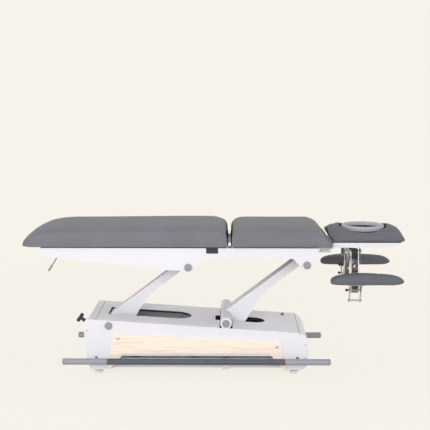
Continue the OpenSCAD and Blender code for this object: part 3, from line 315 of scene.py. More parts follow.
def moulded_plastic(name, colour, rough=0.5):
    """Injection-moulded plastic with a fine spark-eroded texture"""
    made, tree, shader, place = fresh(name)
    # Texture of about 0.3 mm, drawn 1.5 mm wide
    grit = add(tree, "TexNoise", {"Vector": place, "Scale": 650.0, "Detail": 2.0})
    cloud = add(tree, "TexNoise", {"Vector": place, "Scale": 30.0})
    tone = add(tree, "ValToRGB", {"Fac": cloud}, [(0.3, shade(colour, 0.92)), (0.7, shade(colour, 1.04))])
    gloss = add(tree, "MapRange", {"Value": grit, "To Min": rough - 0.08, "To Max": rough + 0.1})
    bump = add(tree, "Bump", {"Height": grit, "Strength": 0.12, "Distance": 0.0003})
    feed(tree, shader, {"Base Color": tone, "Roughness": gloss, "Normal": bump, "IOR": 1.5})
    return made


def painted_board(name, colour):
    """Birch plywood board, sealed in thin dark paint that lets the plies show at the edge"""
    made, tree, shader, place = fresh(name)
    plies = add(tree, "TexWave", {"Vector": place, "Scale": 110.0, "Distortion": 0.4}, bands_direction="Z")
    fibre = add(tree, "TexNoise", {"Vector": place, "Scale": 120.0, "Detail": 3.0})
    tone = add(tree, "ValToRGB", {"Fac": plies.outputs["Fac"]},
               [(0.2, shade(colour, 0.75)), (0.8, shade(colour, 1.25))])
    bump = add(tree, "Bump", {"Height": fibre, "Strength": 0.15, "Distance": 0.0005})
    feed(tree, shader, {"Base Color": tone, "Normal": bump, "Roughness": 0.65})
    return made


finish = {}


def make_finishes(scene):
    """Every finish of the table, named for what the real one is"""
    cloth, paint = scene.table_upholstery, scene.table_paint
    finish.update(
        cushion=coated_fabric("coated_fabric_grey", cloth.grey, 0.0025, 16.0),
        dark_cushion=coated_fabric("coated_fabric_dark_grey", cloth.dark, 0.0025, 18.0),
        ring=coated_fabric("coated_fabric_light_grey", cloth.light, 0.0025, 20.0),
        # Dark fabric painted on faces in shade, as painted shade: the long cushions' ends in their joint, the head
        # cushion's groove and the ring's underside
        charcoal=coated_fabric("coated_fabric_charcoal", linear("#2B2B2E"), 0.0025, 20.0),
        white=powder_coat("powder_coat_white", paint.white),
        # Lighter copy of the frame's white, painted light
        cover=powder_coat("powder_coat_cover_painted_light", paint.cover, 0.46),
        bars=powder_coat("powder_coat_bar_grey", paint.bars, 0.5),
        caps=moulded_plastic("polypropylene_cap_grey", paint.caps, 0.5),
        ash=ash_veneer("ash_veneer", paint.ash),
        bracket=plated_steel("phosphated_steel", linear("#9B9694"), 0.4),
        # Straps with a dark middle that is painted shade
        straps=link_plate("zinc_plated_straps_painted_shade", linear("#CDCCD2"), linear("#6B635F"), linear("#A7B0C2")),
        blue_zinc=plated_steel("blue_zinc_plate", linear("#A7B0C2"), 0.3),
        # Dark steel for the webs and braces, kept dark partly as painted shade among the arm's links
        bronze=plated_steel("dark_steel_painted_shade", linear("#59524E"), 0.42),
        carrier=plated_steel("satin_zinc_plate", linear("#B9B6BA"), 0.36),
        steel=plated_steel("turned_steel", linear("#B4B6BA"), 0.32, 0.2),
        zinc=plated_steel("zinc_plate", linear("#C4C6CC"), 0.28),
        black=moulded_plastic("abs_black", linear("#232428"), 0.45),
        dark=moulded_plastic("abs_dark_grey", linear("#4A4C52"), 0.5),
        # Pale strip that paints the light seen through under the base, painted light
        trim=moulded_plastic("pvc_trim_pale_blue", linear("#DFECF5"), 0.4),
        lever=powder_coat("powder_coat_lever_grey", linear("#8E8C90"), 0.45),
        sleeve=moulded_plastic("ribbed_rubber", linear("#55595F"), 0.55),
        navy=moulded_plastic("anodised_tag_navy", linear("#232938"), 0.5),
        brown=moulded_plastic("phenolic_brown", linear("#7A5A48"), 0.45),
        board=painted_board("sealed_plywood", linear("#33302E")),
        gap=moulded_plastic("shadow_gap", linear("#5A5A5E"), 0.8),
        foot=moulded_plastic("polyamide_foot", linear("#FFFDFB"), 0.55),
    )


def dress(names, key):
    """Gives CAD nodes a finish"""
    for name in names.split():
        if not node[name].material_slots:
            node[name].data.materials.append(finish[key])
        for slot in node[name].material_slots:
            slot.material = finish[key]


# Mesh helpers


def settle(bm, name, key, body, angle=35.0):
    """Turns a bmesh into a piece on a body, with one of the finishes"""
    bmesh.ops.remove_doubles(bm, verts=bm.verts, dist=1e-6)
    bmesh.ops.recalc_face_normals(bm, faces=bm.faces)
    mesh = bpy.data.meshes.new(name)
    bm.to_mesh(mesh)
    bm.free()
    piece = bpy.data.objects.new(name, mesh)
    bpy.context.scene.collection.objects.link(piece)
    mesh.materials.append(finish[key])
    for face in mesh.polygons:
        face.use_smooth = True
    mesh.set_sharp_from_angle(angle=math.radians(angle))
    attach(piece, body)
    return piece


def to_axis(at, way):
    """Places a shape drawn along +Z at a point, along a direction"""
    turn = Vector((0, 0, 1)).rotation_difference(Vector(way).normalized()).to_matrix().to_4x4()
    return Matrix.Translation(Vector(at)) @ turn


def turned(bm, profile, matrix, steps=24):
    """Spins a profile of radius and height round Z into a closed solid"""
    verts = [bm.verts.new((r, 0, z)) for r, z in profile]
    edges = [bm.edges.new(pair) for pair in zip(verts, verts[1:])]
    made = bmesh.ops.spin(bm, geom=verts + edges, cent=(0, 0, 0), axis=(0, 0, 1), angle=2 * math.pi, steps=steps,
                          use_merge=True)
    part = set(verts) | {g for g in made["geom_last"] if isinstance(g, bmesh.types.BMVert)}
    found, queue = set(part), list(part)
    while queue:
        for edge in queue.pop().link_edges:
            for vert in edge.verts:
                if vert not in found:
                    found.add(vert)
                    queue.append(vert)
    bmesh.ops.remove_doubles(bm, verts=list(found), dist=1e-6)
    bmesh.ops.transform(bm, matrix=matrix, verts=[v for v in found if v.is_valid])


def brick(bm, low, high, round_by=0.0):
    """A block between two corners with its edges rounded"""
    made = bmesh.ops.create_cube(bm, size=1.0)["verts"]
    low, high = Vector(low), Vector(high)
    bmesh.ops.scale(bm, vec=high - low, verts=made)
    bmesh.ops.translate(bm, vec=(low + high) / 2, verts=made)
    if round_by:
        edges = {e for v in made for e in v.link_edges}
        bmesh.ops.bevel(bm, geom=list(edges), offset=round_by, segments=3, affect="EDGES", profile=0.5, material=-1,
                        clamp_overlap=True)


def slab(bm, side, xs, ys, zs, round_by):
    """A block on the near side (-1) or the far side (1), with its range of Y given for the far side"""
    low, high = sorted(side * y for y in ys)
    brick(bm, (xs[0], low, zs[0]), (xs[1], high, zs[1]), round_by)


# Upholstery


def foam_skin(name, cad_name, cell, tuck):
    """Copy of a CAD cushion's form as an even skin, set in by the tuck"""
    mesh = node[cad_name].data.copy()
    bm = bmesh.new()
    bm.from_mesh(mesh)
    bmesh.ops.remove_doubles(bm, verts=bm.verts, dist=1e-5)
    bm.to_mesh(mesh)
    bm.free()
    source = bpy.data.objects.new(name + "_form", mesh)
    bpy.context.scene.collection.objects.link(source)
    skin = source.modifiers.new("even", "REMESH")
    skin.mode = "VOXEL"
    skin.voxel_size = cell
    skin.use_smooth_shade = True
    even = bpy.data.meshes.new_from_object(source.evaluated_get(bpy.context.evaluated_depsgraph_get()))
    bpy.data.objects.remove(source)
    even.name = name
    piece = bpy.data.objects.new(name, even)
    bpy.context.scene.collection.objects.link(piece)
    bm = bmesh.new()
    bm.from_mesh(even)
    for _ in range(2):
        bmesh.ops.smooth_vert(bm, verts=bm.verts, factor=0.5, use_axis_x=True, use_axis_y=True, use_axis_z=True)
    bm.normal_update()
    for vert in bm.verts:
        vert.co -= vert.normal * tuck
    bm.to_mesh(even)
    bm.free()
    return piece


FOAM_FRAMES = 16
FOAM = {
    "quality": 4, "mass": 0.4, "tension_stiffness": 12, "compression_stiffness": 12, "shear_stiffness": 6,
    "bending_stiffness": 1.5, "use_pressure": True,
}


def stuff(piece, air, limit):
    """Swells a skin with air as foam does under its cover, with its underside held to the board"""
    scene = bpy.context.scene
    points = piece.data.vertices
    start = [v.co.copy() for v in points]
    low = min(v.z for v in start)
    held = piece.vertex_groups.new(name="board")
    held.add([i for i, v in enumerate(start) if v.z < low + 0.006], 1.0, "REPLACE")
    cloth = piece.modifiers.new("foam", "CLOTH")
    for name, value in FOAM.items():
        setattr(cloth.settings, name, value)
    cloth.settings.uniform_pressure_force = air
    cloth.settings.vertex_group_mass = held.name
    cloth.settings.effector_weights.gravity = 0.0
    cloth.point_cache.frame_start = 1
    cloth.point_cache.frame_end = FOAM_FRAMES
    for step in range(1, FOAM_FRAMES + 1):
        scene.frame_set(step)
    swollen = piece.evaluated_get(bpy.context.evaluated_depsgraph_get())
    after = [v.co.copy() for v in swollen.data.vertices]
    piece.modifiers.remove(cloth)
    piece.vertex_groups.remove(held)
    scene.frame_set(1)
    for vert, before, now in zip(points, start, after):
        move = now - before
        if move.length > limit:
            move *= limit / move.length
        vert.co = before + move


def ease(value, start, end):
    """0 before start, 1 after end, and smooth between them"""
    t = min(max((value - start) / (end - start), 0.0), 1.0)
    return t * t * (3 - 2 * t)


def arch(rise, lean=1.0):
    """Swell of a side: 0 at a cushion's foot and top, 1 between them, and lower down the smaller the lean is"""
    return math.sin(math.pi * min(max(rise, 0), 1) ** lean)


def apart(point, axes):
    """Distance from the middle of the face ring, as a share of an oval's half axes"""
    return math.hypot((point.x - RING_X) / axes[0], point.y / axes[1])


def cushion(name, cad_name, body, key, cell, tuck, air, limit, shape, room=0.0, panel=None):
    """One padded piece that stands for its CAD form and stays in it but for some room, with the faces that panel picks
    painted dark as painted shade
    """
    piece = foam_skin(name, cad_name, cell, tuck)
    stuff(piece, air, limit)
    low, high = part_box(cad_name)
    for vert in piece.data.vertices:
        vert.co = shape(vert.co)
        vert.co = Vector([min(max(c, a - room), b + room) for c, a, b in zip(vert.co, low, high)])
        vert.co.z = max(vert.co.z, low.z)
    piece.data.materials.clear()
    piece.data.materials.append(finish[key])
    piece.data.materials.append(finish["charcoal"])
    for face in piece.data.polygons:
        face.use_smooth = True
        # Faces in shade get the dark fabric, painted shade
        face.material_index = 1 if panel and panel(face) else 0
    finer = piece.modifiers.new("finer", "SUBSURF")
    finer.levels = finer.render_levels = 1
    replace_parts(piece, cad_name)
    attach(piece, body)


class TABLE_OT_studio(bpy.types.Operator):
    """Camera, pale floor, backdrop and soft lamps"""

    bl_idname = "table.studio"
    bl_label = "Studio"

    def execute(self, context):
        studio = context.scene.table_studio
        context.scene.view_settings.view_transform = "Standard"
        data = bpy.data.cameras.new("camera")
        data.lens, data.sensor_width = studio.lens, 36.0
        camera = bpy.data.objects.new("camera", data)
        camera.location = CAMERA_AT
        camera.rotation_euler = (math.pi / 2 - studio.tilt, 0.0, studio.turn)
        context.scene.collection.objects.link(camera)
        context.scene.camera = camera

        bm = bmesh.new()
        bmesh.ops.create_grid(bm, x_segments=1, y_segments=1, size=60.0)
        mesh = bpy.data.meshes.new("floor")
        bm.to_mesh(mesh)
        bm.free()
        floor = bpy.data.objects.new("floor", mesh)
        floor.location = (0.0, 0.0, -0.0005)
        context.scene.collection.objects.link(floor)
        # Matt paper sweep: its own glow keeps it as pale as the backdrop and leaves the shadow faint,
        # while it returns light to the object as plain paper does
        made, tree, shader, place = fresh("paper_sweep")
        away = add(tree, "VectorMath", {0: place}, operation="LENGTH")
        far = add(tree, "MapRange", {"Value": away, "From Min": 1.6, "From Max": 5.0}, interpolation_type="SMOOTHSTEP")
        rays = add(tree, "LightPath")
        seen = add(tree, "Math", {0: rays.outputs["Is Camera Ray"], 1: rays.outputs["Is Glossy Ray"]},
                   operation="MAXIMUM")
        shown = add(tree, "Mix", {"Factor": far, "A": shade(studio.ground, 0.1), "B": (0.0, 0.0, 0.0, 1.0)},
                    data_type="RGBA")
        paper = add(tree, "Mix", {"Factor": seen, "A": shade(studio.ground, 0.85), "B": shown}, data_type="RGBA")
        glow = add(tree, "MapRange", {"Value": far, "To Min": 0.905, "To Max": 1.0})
        lit = add(tree, "Math", {0: glow, 1: seen}, operation="MULTIPLY")
        feed(tree, shader, {"Base Color": paper, "Roughness": 1.0, "Specular IOR Level": 0.0,
                            "Emission Color": shade(studio.ground), "Emission Strength": lit})
        mesh.materials.append(made)

        world = bpy.data.worlds.new("room")
        world.use_nodes = True
        context.scene.world = world
        tree = world.node_tree
        tree.nodes.clear()
        rays = add(tree, "LightPath")
        first = add(tree, "Math", {0: rays.outputs["Is Camera Ray"], 1: rays.outputs["Is Glossy Ray"]},
                    operation="MAXIMUM")
        seen = add(tree, "Math", {0: first, 1: rays.outputs["Is Transmission Ray"]}, operation="MAXIMUM")
        wall = add(tree, "Background", {"Color": shade(studio.ground), "Strength": 1.0})
        # Pale walls all round, and a dimmer ceiling
        up = add(tree, "SeparateXYZ", {0: add(tree, "TexCoord").outputs["Generated"]})
        dim = add(tree, "MapRange", {"Value": up.outputs["Z"], "From Min": 0.15, "From Max": 0.95,
                                     "To Min": studio.sky, "To Max": studio.sky * 0.35})
        fill = add(tree, "Background", {"Color": linear("#F6F6FA"), "Strength": dim})
        both = add(tree, "MixShader", {0: seen, 1: fill, 2: wall})
        add(tree, "OutputWorld", {"Surface": both})

        for name, energy, at, aim, colour in (
            ("front_light", studio.front, (-1.0, -5.7, 2.3), (0.0, 0.0, 0.45), "#F8FAFF"),
            ("top_light", studio.top, (0.3, -0.3, 3.6), (0.0, 0.0, 0.6), "#FFF9F2"),
        ):
            data = bpy.data.lights.new(name, "AREA")
            data.shape, data.size, data.size_y = "RECTANGLE", 4.0, 2.6
            data.energy, data.color = energy, linear(colour)[:3]
            lamp = bpy.data.objects.new(name, data)
            lamp.location = at
            lamp.rotation_mode = "QUATERNION"
            lamp.rotation_quaternion = (Vector(aim) - Vector(at)).to_track_quat("-Z", "Y")
            context.scene.collection.objects.link(lamp)
        return {"FINISHED"}


class TABLE_OT_finishes(bpy.types.Operator):
    """Finishes of the frame, lift, base and armrest metal"""

    bl_idname = "table.finishes"
    bl_label = "Finishes"

    def execute(self, context):
        make_finishes(context.scene)
        dress("base_chassis base_side_near base_side_far left_arm right_arm frame_side_near frame_side_far "
              "frame_crossmembers leg_frame head_tray", "white")
        # Covers in the lighter white, painted light
        dress("base_top_cover end_cover_foot end_cover_head", "cover")
        dress("wood_panel_near wood_panel_far", "ash")
        dress("base_pivot_caps frame_pivot_caps", "caps")
        dress("panel_screws", "zinc")
        dress("levelling_feet", "foot")
        dress("lower_axles upper_axles lift_rod leg_hinge_pins head_hinge_pins", "steel")
        dress("armrest_bracket_near armrest_bracket_far", "bracket")
        dress("carrier_near carrier_far", "carrier")
        dress("upper_link_near upper_link_far lower_link_near lower_link_far", "straps")
        dress("control_box bar_bearings lock_handle knob_near knob_far", "black")
        dress("lift_motor bar_switches", "dark")
        dress("release_lever", "lever")
        dress("torso_board leg_board", "board")
        dress("foot_bar_near foot_bar_far", "bars")
        dress("bar_sleeve_near bar_sleeve_far", "sleeve")
        dress("name_badge", "navy")
        dress("cover_socket", "brown")
        dress("torso_cushion leg_cushion head_cushion pad_near pad_far", "cushion")
        dress("face_ring", "ring")
        return {"FINISHED"}


class TABLE_OT_long_cushions(bpy.types.Operator):
    """Leg cushion and torso cushion"""

    bl_idname = "table.long_cushions"
    bl_label = "Leg and torso cushions"

    def execute(self, context):
        cloth = context.scene.table_upholstery
        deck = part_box("leg_cushion")[0].z

        def leg_form(co):
            """Fuller nose, a crown that rises along the cushion, and a swollen end at the joint"""
            rise = (co.z - deck) / LONG_FOAM
            nose = 1 - ease(co.x, -1.0, -0.84)
            end = ease(co.x, 0.03, 0.07) * arch(rise, 1.4)
            crown = 0.003 * nose + 0.006 * ease(co.x, -0.8, -0.15) - 0.007 * ease(co.x, -0.02, 0.06)
            return Vector((co.x + 0.009 * end - 0.006 * nose * (0.4 + rise), co.y, co.z + rise * crown))

        def torso_form(co):
            """Low crown, a fuller end at the joint, and a slope towards the head that swells low down"""
            rise = (co.z - deck) / LONG_FOAM
            end, slope = 1 - ease(co.x, 0.09, 0.17), ease(co.x, 0.50, 0.56)
            return Vector((co.x - 0.004 * end + slope * 0.010 * arch(rise, 0.45), co.y,
                           co.z + rise * (0.002 - 0.004 * end)))

        # Faces at the joint between the long cushions are painted dark, painted shade in the joint
        def leg_end(face):
            return face.normal.x > END_FACING and face.center.x > 0.05

        def torso_end(face):
            return face.normal.x < -END_FACING and face.center.x < 0.12

        for name, cad_name, body, form, end in (
            ("leg_cushion_cover", "leg_cushion", "leg_section", leg_form, leg_end),
            ("torso_cushion_cover", "torso_cushion", "upper_frame", torso_form, torso_end),
        ):
            cushion(name, cad_name, body, "cushion", cloth.long_mesh, cloth.tuck, cloth.air,
                    cloth.swell, form, 0.006, end)
        # Boards under the cushions, which end behind the side plates
        for name, cad_name, body, x0, x1 in (
            ("leg_board_panel", "leg_board", "leg_section", -0.898, None),
            ("torso_board_panel", "torso_board", "upper_frame", None, 0.549),
        ):
            low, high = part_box(cad_name)
            bm = bmesh.new()
            brick(bm, (x0 or low.x, low.y, low.z), (x1 or high.x, high.y, high.z), 0.0015)
            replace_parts(settle(bm, name, "board", body), cad_name)
        return {"FINISHED"}


class TABLE_OT_head_cushion(bpy.types.Operator):
    """Head cushion and face ring"""

    bl_idname = "table.head_cushion"
    bl_label = "Head cushion and face ring"

    def execute(self, context):
        cloth = context.scene.table_upholstery
        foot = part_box("head_cushion")[0].z

        def head_form(co):
            """Crown across the cushion, a rim round the ring's ends, and a fuller right end"""
            rise = max(co.z - foot, 0) / HEAD_FOAM
            left, right = 1 - ease(co.x, 0.615, 0.72), ease(co.x, 0.92, 1.0)
            crown = 0.008 + 0.004 * ease(co.y, -0.08, 0.08) - 0.024 * min(abs(co.y) / HEAD_HALF, 1.0) ** 2
            rim = (1 - ease(apart(co, HOLE_LINE), 1.0, 1.35)) * min(((co.x - RING_X) / HOLE_LINE[0]) ** 2, 1)
            crown += rim * 0.007 * ease(co.y, -0.03, 0.03) - 0.006 * left
            belly = right * arch(rise)
            return Vector((co.x + 0.006 * belly + 0.002 * left, co.y * (1 + 0.07 * right),
                           co.z + rise * crown + 0.009 * belly))

        def roll(co):
            """Round section of the ring, which narrows below its middle and draws its ends in"""
            turn = math.atan2(co.y / RING_LINE[1], (co.x - RING_X) / RING_LINE[0])
            line = Vector((RING_X + RING_LINE[0] * math.cos(turn), RING_LINE[1] * math.sin(turn)))
            round_by = max(1 - (max(ROLL_Z - co.z, 0) / ROLL_RADIUS) ** 2, 0.6) ** 0.5
            away = (co.xy - line) * round_by
            line.x -= 0.0045 * math.cos(turn)
            return Vector((line.x + away.x, line.y + away.y, co.z - 0.001 * math.sin(turn) ** 2))

        # The head cushion's groove round the ring is painted dark, painted shade in the recess
        def in_groove(face):
            return apart(face.center, HOLE_LINE) < 1

        # The ring's cover below its roll is painted dark, painted shade where the roll hangs over
        def under_roll(face):
            return face.center.z < ROLL_FOOT[0 if apart(face.center, RING_LINE) < 1 else 1]

        cushion("head_cushion_cover", "head_cushion", "head_section", "dark_cushion",
                cloth.small_mesh, cloth.tuck, cloth.air, cloth.tuck, head_form, 0.0145, in_groove)
        cushion("face_ring_cover", "face_ring", "head_section", "ring",
                cloth.small_mesh, cloth.tuck * 0.7, cloth.air, cloth.tuck * 0.7, roll, panel=under_roll)
        return {"FINISHED"}


class TABLE_OT_arm_pads(bpy.types.Operator):
    """Pads of the two armrests"""

    bl_idname = "table.arm_pads"
    bl_label = "Arm pads"

    def execute(self, context):
        cloth = context.scene.table_upholstery
        for side, left_out in (("near", -0.004), ("far", 0.006)):
            low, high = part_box(f"pad_{side}")
            middle = (low.z + high.z) / 2

            def pad_form(co, low=low, high=high, middle=middle, left_out=left_out):
                """Fuller right end, and a left end moved out or in"""
                left, right = 1 - ease(co.x, low.x, low.x + 0.12), ease(co.x, high.x - 0.14, high.x)
                return Vector((co.x - left_out * left + 0.006 * right, co.y,
                               co.z + (co.z - middle + 0.006) * 0.35 * right))

            cushion(f"pad_cover_{side}", f"pad_{side}", f"{side}_armrest", "dark_cushion",
                    cloth.small_mesh, cloth.tuck, cloth.air, cloth.swell, pad_form, 0.006)
        return {"FINISHED"}


class TABLE_OT_armrest_details(bpy.types.Operator):
    """Flanges, nuts, friction blocks, pressed webs, braces and knobs of the armrests"""

    bl_idname = "table.armrest_details"
    bl_label = "Armrest details"

    def execute(self, context):
        for name, (a1, a2, b1, b2) in PIVOTS.items():
            side = -1 if name == "near" else 1
            flange = (ARM_X - 0.0435, ARM_X - 0.0275)
            bm = bmesh.new()
            slab(bm, side, flange, (0.1502, 0.152), (0.584, 0.668), 0.0006)
            slab(bm, side, flange, (0.136, 0.152), (0.66, 0.668), 0.0006)
            settle(bm, f"bracket_flange_{name}", "bracket", "head_section")

            # Nut and bolt end on each pivot of the head's bracket
            bm = bmesh.new()
            for pivot in (a1, a2):
                at = to_axis((ARM_X - 0.036, *pivot), (-1, 0, 0))
                turned(bm, [(0, -0.0005), (0.0078, -0.0005), (0.0078, 0.0055), (0.0068, 0.0065), (0, 0.0065)], at, 6)
                turned(bm, [(0, 0.006), (0.0045, 0.006), (0.0045, 0.0115), (0.0035, 0.0125), (0, 0.0125)], at, 20)
            settle(bm, f"pivot_nuts_{name}", "blue_zinc", "head_section", angle=25)

            # Friction block with four ribs, inside the bracket
            bm = bmesh.new()
            slab(bm, side, (ARM_X - 0.0162, ARM_X + 0.0162), (0.119, 0.1485), (0.602, 0.657), 0.0025)
            for i in range(4):
                z = 0.609 + i * 0.012
                slab(bm, side, (ARM_X - 0.0145, ARM_X + 0.0145), (0.146, 0.1502), (z, z + 0.006), 0.001)
            settle(bm, f"friction_block_{name}", "black", "head_section")

            # Pressed web between the lower straps, with its drop-shaped hole, in dark steel that is partly painted
            # shade between the straps
            start, end = Vector((ARM_X, *a2)), Vector((ARM_X, *b2))
            along, across = (end - start).normalized(), Vector((1, 0, 0))
            face = across.cross(along)
            half, first, last, count, wall = 0.0222, 0.011, 0.0405, 32, 0.003
            hole_half, hole_at, hole_back, hole_front = 0.0058, 0.0265, 0.0105, 0.0065
            bm = bmesh.new()
            loops = []
            for hole in (False, True):
                ring = []
                for i in range(count):
                    angle = 2 * math.pi * i / count
                    c, d = math.sin(angle), -math.cos(angle)
                    if hole:
                        u, t = hole_half * c * (1 + 0.3 * d), hole_at + (hole_back if d < 0 else hole_front) * d
                    else:
                        grow = 1 / max(abs(c), abs(d))
                        u, t = half * c * grow, (first + last) / 2 + (last - first) / 2 * d * grow
                    ring.append(bm.verts.new(start + across * u + along * t))
                loops += [bm.edges.new((ring[i], ring[(i + 1) % count])) for i in range(count)]
            bmesh.ops.bridge_loops(bm, edges=loops)
            made = bmesh.ops.extrude_face_region(bm, geom=bm.faces[:])["geom"]
            bmesh.ops.translate(bm, vec=face * wall, verts=[g for g in made if isinstance(g, bmesh.types.BMVert)])
            bmesh.ops.translate(bm, vec=face * (-wall / 2), verts=bm.verts)
            settle(bm, f"link_web_{name}", "bronze", f"{name}_lower_link", angle=30)

            # Vee brace under the pad
            bm = bmesh.new()
            y = b1[0] + side * 0.016
            low, high = Vector((ARM_X, y, b1[1] + 0.002)), b1[1] + 0.036
            for spread in (-0.011, 0.011):
                way = Vector((ARM_X + spread, y, high)) - low
                turned(bm, [(0, 0), (0.0018, 0), (0.0018, way.length), (0, way.length)], to_axis(low, way), 12)
            settle(bm, f"vee_brace_{name}", "bronze", f"{name}_armrest")

            # Small lobed knob of the clamp
            low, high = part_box(f"knob_{name}")
            middle = (low + high) / 2
            at = to_axis((high.x, middle.y, middle.z), (-1, 0, 0))
            bm = bmesh.new()
            turned(bm, [(0, 0), (0.0042, 0), (0.0042, 0.004), (0, 0.004)], at, 20)
            turned(bm, [(0, 0.004), (0.0062, 0.004), (0.0074, 0.0055), (0.0078, 0.009), (0.007, 0.0125),
                        (0.004, 0.0145), (0, 0.015)], at, 36)
            for vert in bm.verts:
                y, z = vert.co.y - middle.y, vert.co.z - middle.z
                if math.hypot(y, z) > 0.005:
                    pinch = 1 - 0.07 * (1 + math.cos(6 * math.atan2(z, y)))
                    vert.co.y, vert.co.z = middle.y + y * pinch, middle.z + z * pinch
            knob = settle(bm, f"clamp_knob_{name}", "black", f"{name}_armrest")
            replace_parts(knob, f"knob_{name}")
        return {"FINISHED"}


class TABLE_OT_fittings(bpy.types.Operator):
    """Screws and bar caps"""

    bl_idname = "table.fittings"
    bl_label = "Fittings"

    def execute(self, context):
        sizes = context.scene.table_fittings
        face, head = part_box("base_side_near")[0].y, sizes.screw
        button = [(0, 0), (head, 0), (head, head * 0.25), (head * 0.8, head * 0.55), (head * 0.5, head * 0.65),
                  (head * 0.45, head * 0.3), (0, head * 0.3)]
        bm = bmesh.new()
        for x, z in ((-0.6631, 0.2377), (-0.6608, 0.0884), (0.4556, 0.2205), (0.4866, 0.1622), (0.4866, 0.0946)):
            for side in (-1, 1):
                turned(bm, button, to_axis((x, side * -face, z), (0, side, 0)), 16)
        settle(bm, "side_plate_screws", "zinc", "base")

        for end in ("near", "far"):
            low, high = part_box(f"foot_bar_{end}")
            tube = (high.z - low.z) / 2
            side = -1 if end == "near" else 1
            y, z = side * (max(abs(low.y), abs(high.y)) - tube), (low.z + high.z) / 2
            rim = sizes.cap_rim
            cap = [(0, -rim), (tube + 0.0003, -rim), (tube + 0.0006, -rim + 0.0004), (tube + 0.0006, -0.005),
                   (tube * 0.95, -0.0005), (tube * 0.82, 0.0025), (tube * 0.55, 0.004), (0, 0.0045)]
            bm = bmesh.new()
            for x, way in ((low.x, -1), (high.x, 1)):
                turned(bm, cap, to_axis((x, y, z), (way, 0, 0)), 32)
            settle(bm, f"bar_caps_{end}", "bars", f"{end}_foot_bar")
        return {"FINISHED"}


def cover_height(x):
    """Height of the sloping cover at a place along the table"""
    return COVER_TOP - (x - COVER_FOOT) * COVER_SLOPE


class TABLE_OT_cover_details(bpy.types.Operator):
    """Black rubber edging of the arm slots, which also paints the shade at their edges, joints between the covers, and
    the socket
    """

    bl_idname = "table.cover_details"
    bl_label = "Cover details"

    def execute(self, context):
        sizes = context.scene.table_fittings
        # The black edging stands partly for the shade at the slots' edges, painted shade
        for name, (x0, x1, half, radius), gap_end in (
            ("slot_shade_edging_left", SLOT_LEFT, None),
            ("slot_shade_edging_right", SLOT_RIGHT, TUBE_GAP_END),
        ):
            start = gap_end or x0
            reach = math.sqrt(radius**2 - half**2)
            turn = math.asin(half / radius)
            arc = [(x1 - reach + radius * math.cos(a), radius * math.sin(a))
                   for a in (turn - 2 * turn * i / 24 for i in range(25))]
            path = [(start, half), *arc, (start, -half)]
            bm = bmesh.new()
            verts = [bm.verts.new((x, y, cover_height(x) - 0.0004)) for x, y in path]
            edges = [bm.edges.new(pair) for pair in zip(verts, verts[1:])]
            if not gap_end:
                edges.append(bm.edges.new((verts[-1], verts[0])))
            made = bmesh.ops.extrude_edge_only(bm, edges=edges)["geom"]
            made = [g for g in made if isinstance(g, bmesh.types.BMVert)]
            bmesh.ops.translate(bm, vec=(0, 0, -sizes.edging), verts=made)
            edging = settle(bm, name, "black", "base", angle=50)
            wall = edging.modifiers.new("wall", "SOLIDIFY")
            wall.thickness, wall.offset = 0.0014, 1.0
            # The wall grows into the slot, whichever way its faces came out
            if sum(face.normal.y * face.center.y for face in edging.data.polygons) > 0:
                edging.data.flip_normals()

        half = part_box("base_top_cover")[1].y
        for name, x in (("cover_joint_foot", SEAM_FOOT), ("cover_joint_head", SEAM_HEAD)):
            bm = bmesh.new()
            low = cover_height(x) - 0.004
            brick(bm, (x - sizes.seam / 2, -half, low), (x + sizes.seam / 2, half, low + 0.0042), 0.0003)
            settle(bm, name, "gap", "base")

        low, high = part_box("cover_socket")
        x, y = (low.x + high.x) / 2, (low.y + high.y) / 2
        at = to_axis((x, y, cover_height(x) + 0.0002), (COVER_SLOPE, 0, 1))
        bm = bmesh.new()
        turned(bm, [(0.0085, 0), (0.019, 0), (0.019, 0.0016), (0.0175, 0.0032), (0.0125, 0.0042), (0.0105, 0.0034),
                    (0.0085, 0.0012), (0.0085, 0)], at, 40)
        settle(bm, "socket_ring", "cover", "base")
        bm = bmesh.new()
        turned(bm, [(0, -0.009), (0.0086, -0.009), (0.0086, 0.006), (0.0072, 0.0095), (0.0062, 0.0155), (0.0036, 0.016),
                    (0.003, 0.011), (0, 0.011)], at, 32)
        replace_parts(settle(bm, "socket_core", "brown", "base"), "cover_socket")
        return {"FINISHED"}


class TABLE_OT_base_lining(bpy.types.Operator):
    """Black cable ducts and slim black housings inside the side plates, which also paint the shade inside the base, and
    a pale strip on the rails that paints the light seen through the base
    """

    bl_idname = "table.base_lining"
    bl_label = "Base lining"

    def execute(self, context):
        for name, side in (("near", -1), ("far", 1)):
            # Black ducts, partly painted shade: they darken the inside of the base above the rails
            bm = bmesh.new()
            slab(bm, side, (-0.505, 0.365), (0.160, 0.1945), (0.0803, 0.112), 0.002)
            for i in range(9):
                x = -0.46 + i * 0.0975
                slab(bm, side, (x, x + 0.018), (0.1594, 0.1951), (0.105, 0.1128), 0.0008)
            settle(bm, f"cable_duct_shade_{name}", "black", "base")

            # Pale strip on the rail, painted light that stands for the light seen through under the base
            bm = bmesh.new()
            slab(bm, side, (-0.5, 0.36), (0.2246, 0.2262), (0.0745, 0.0815), 0.0005)
            settle(bm, f"rail_trim_{name}", "trim", "base")

            # Black housings against the side plates, partly painted shade inside the base under the right slot
            bm = bmesh.new()
            slab(bm, side, (-0.015, 0.335), (0.2475, 0.2596), (0.11, 0.212), 0.003)
            for i in range(6):
                x = 0.01 + i * 0.052
                slab(bm, side, (x, x + 0.034), (0.2462, 0.2482), (0.122, 0.2), 0.0008)
            settle(bm, f"drive_housing_shade_{name}", "black", "base")
        return {"FINISHED"}


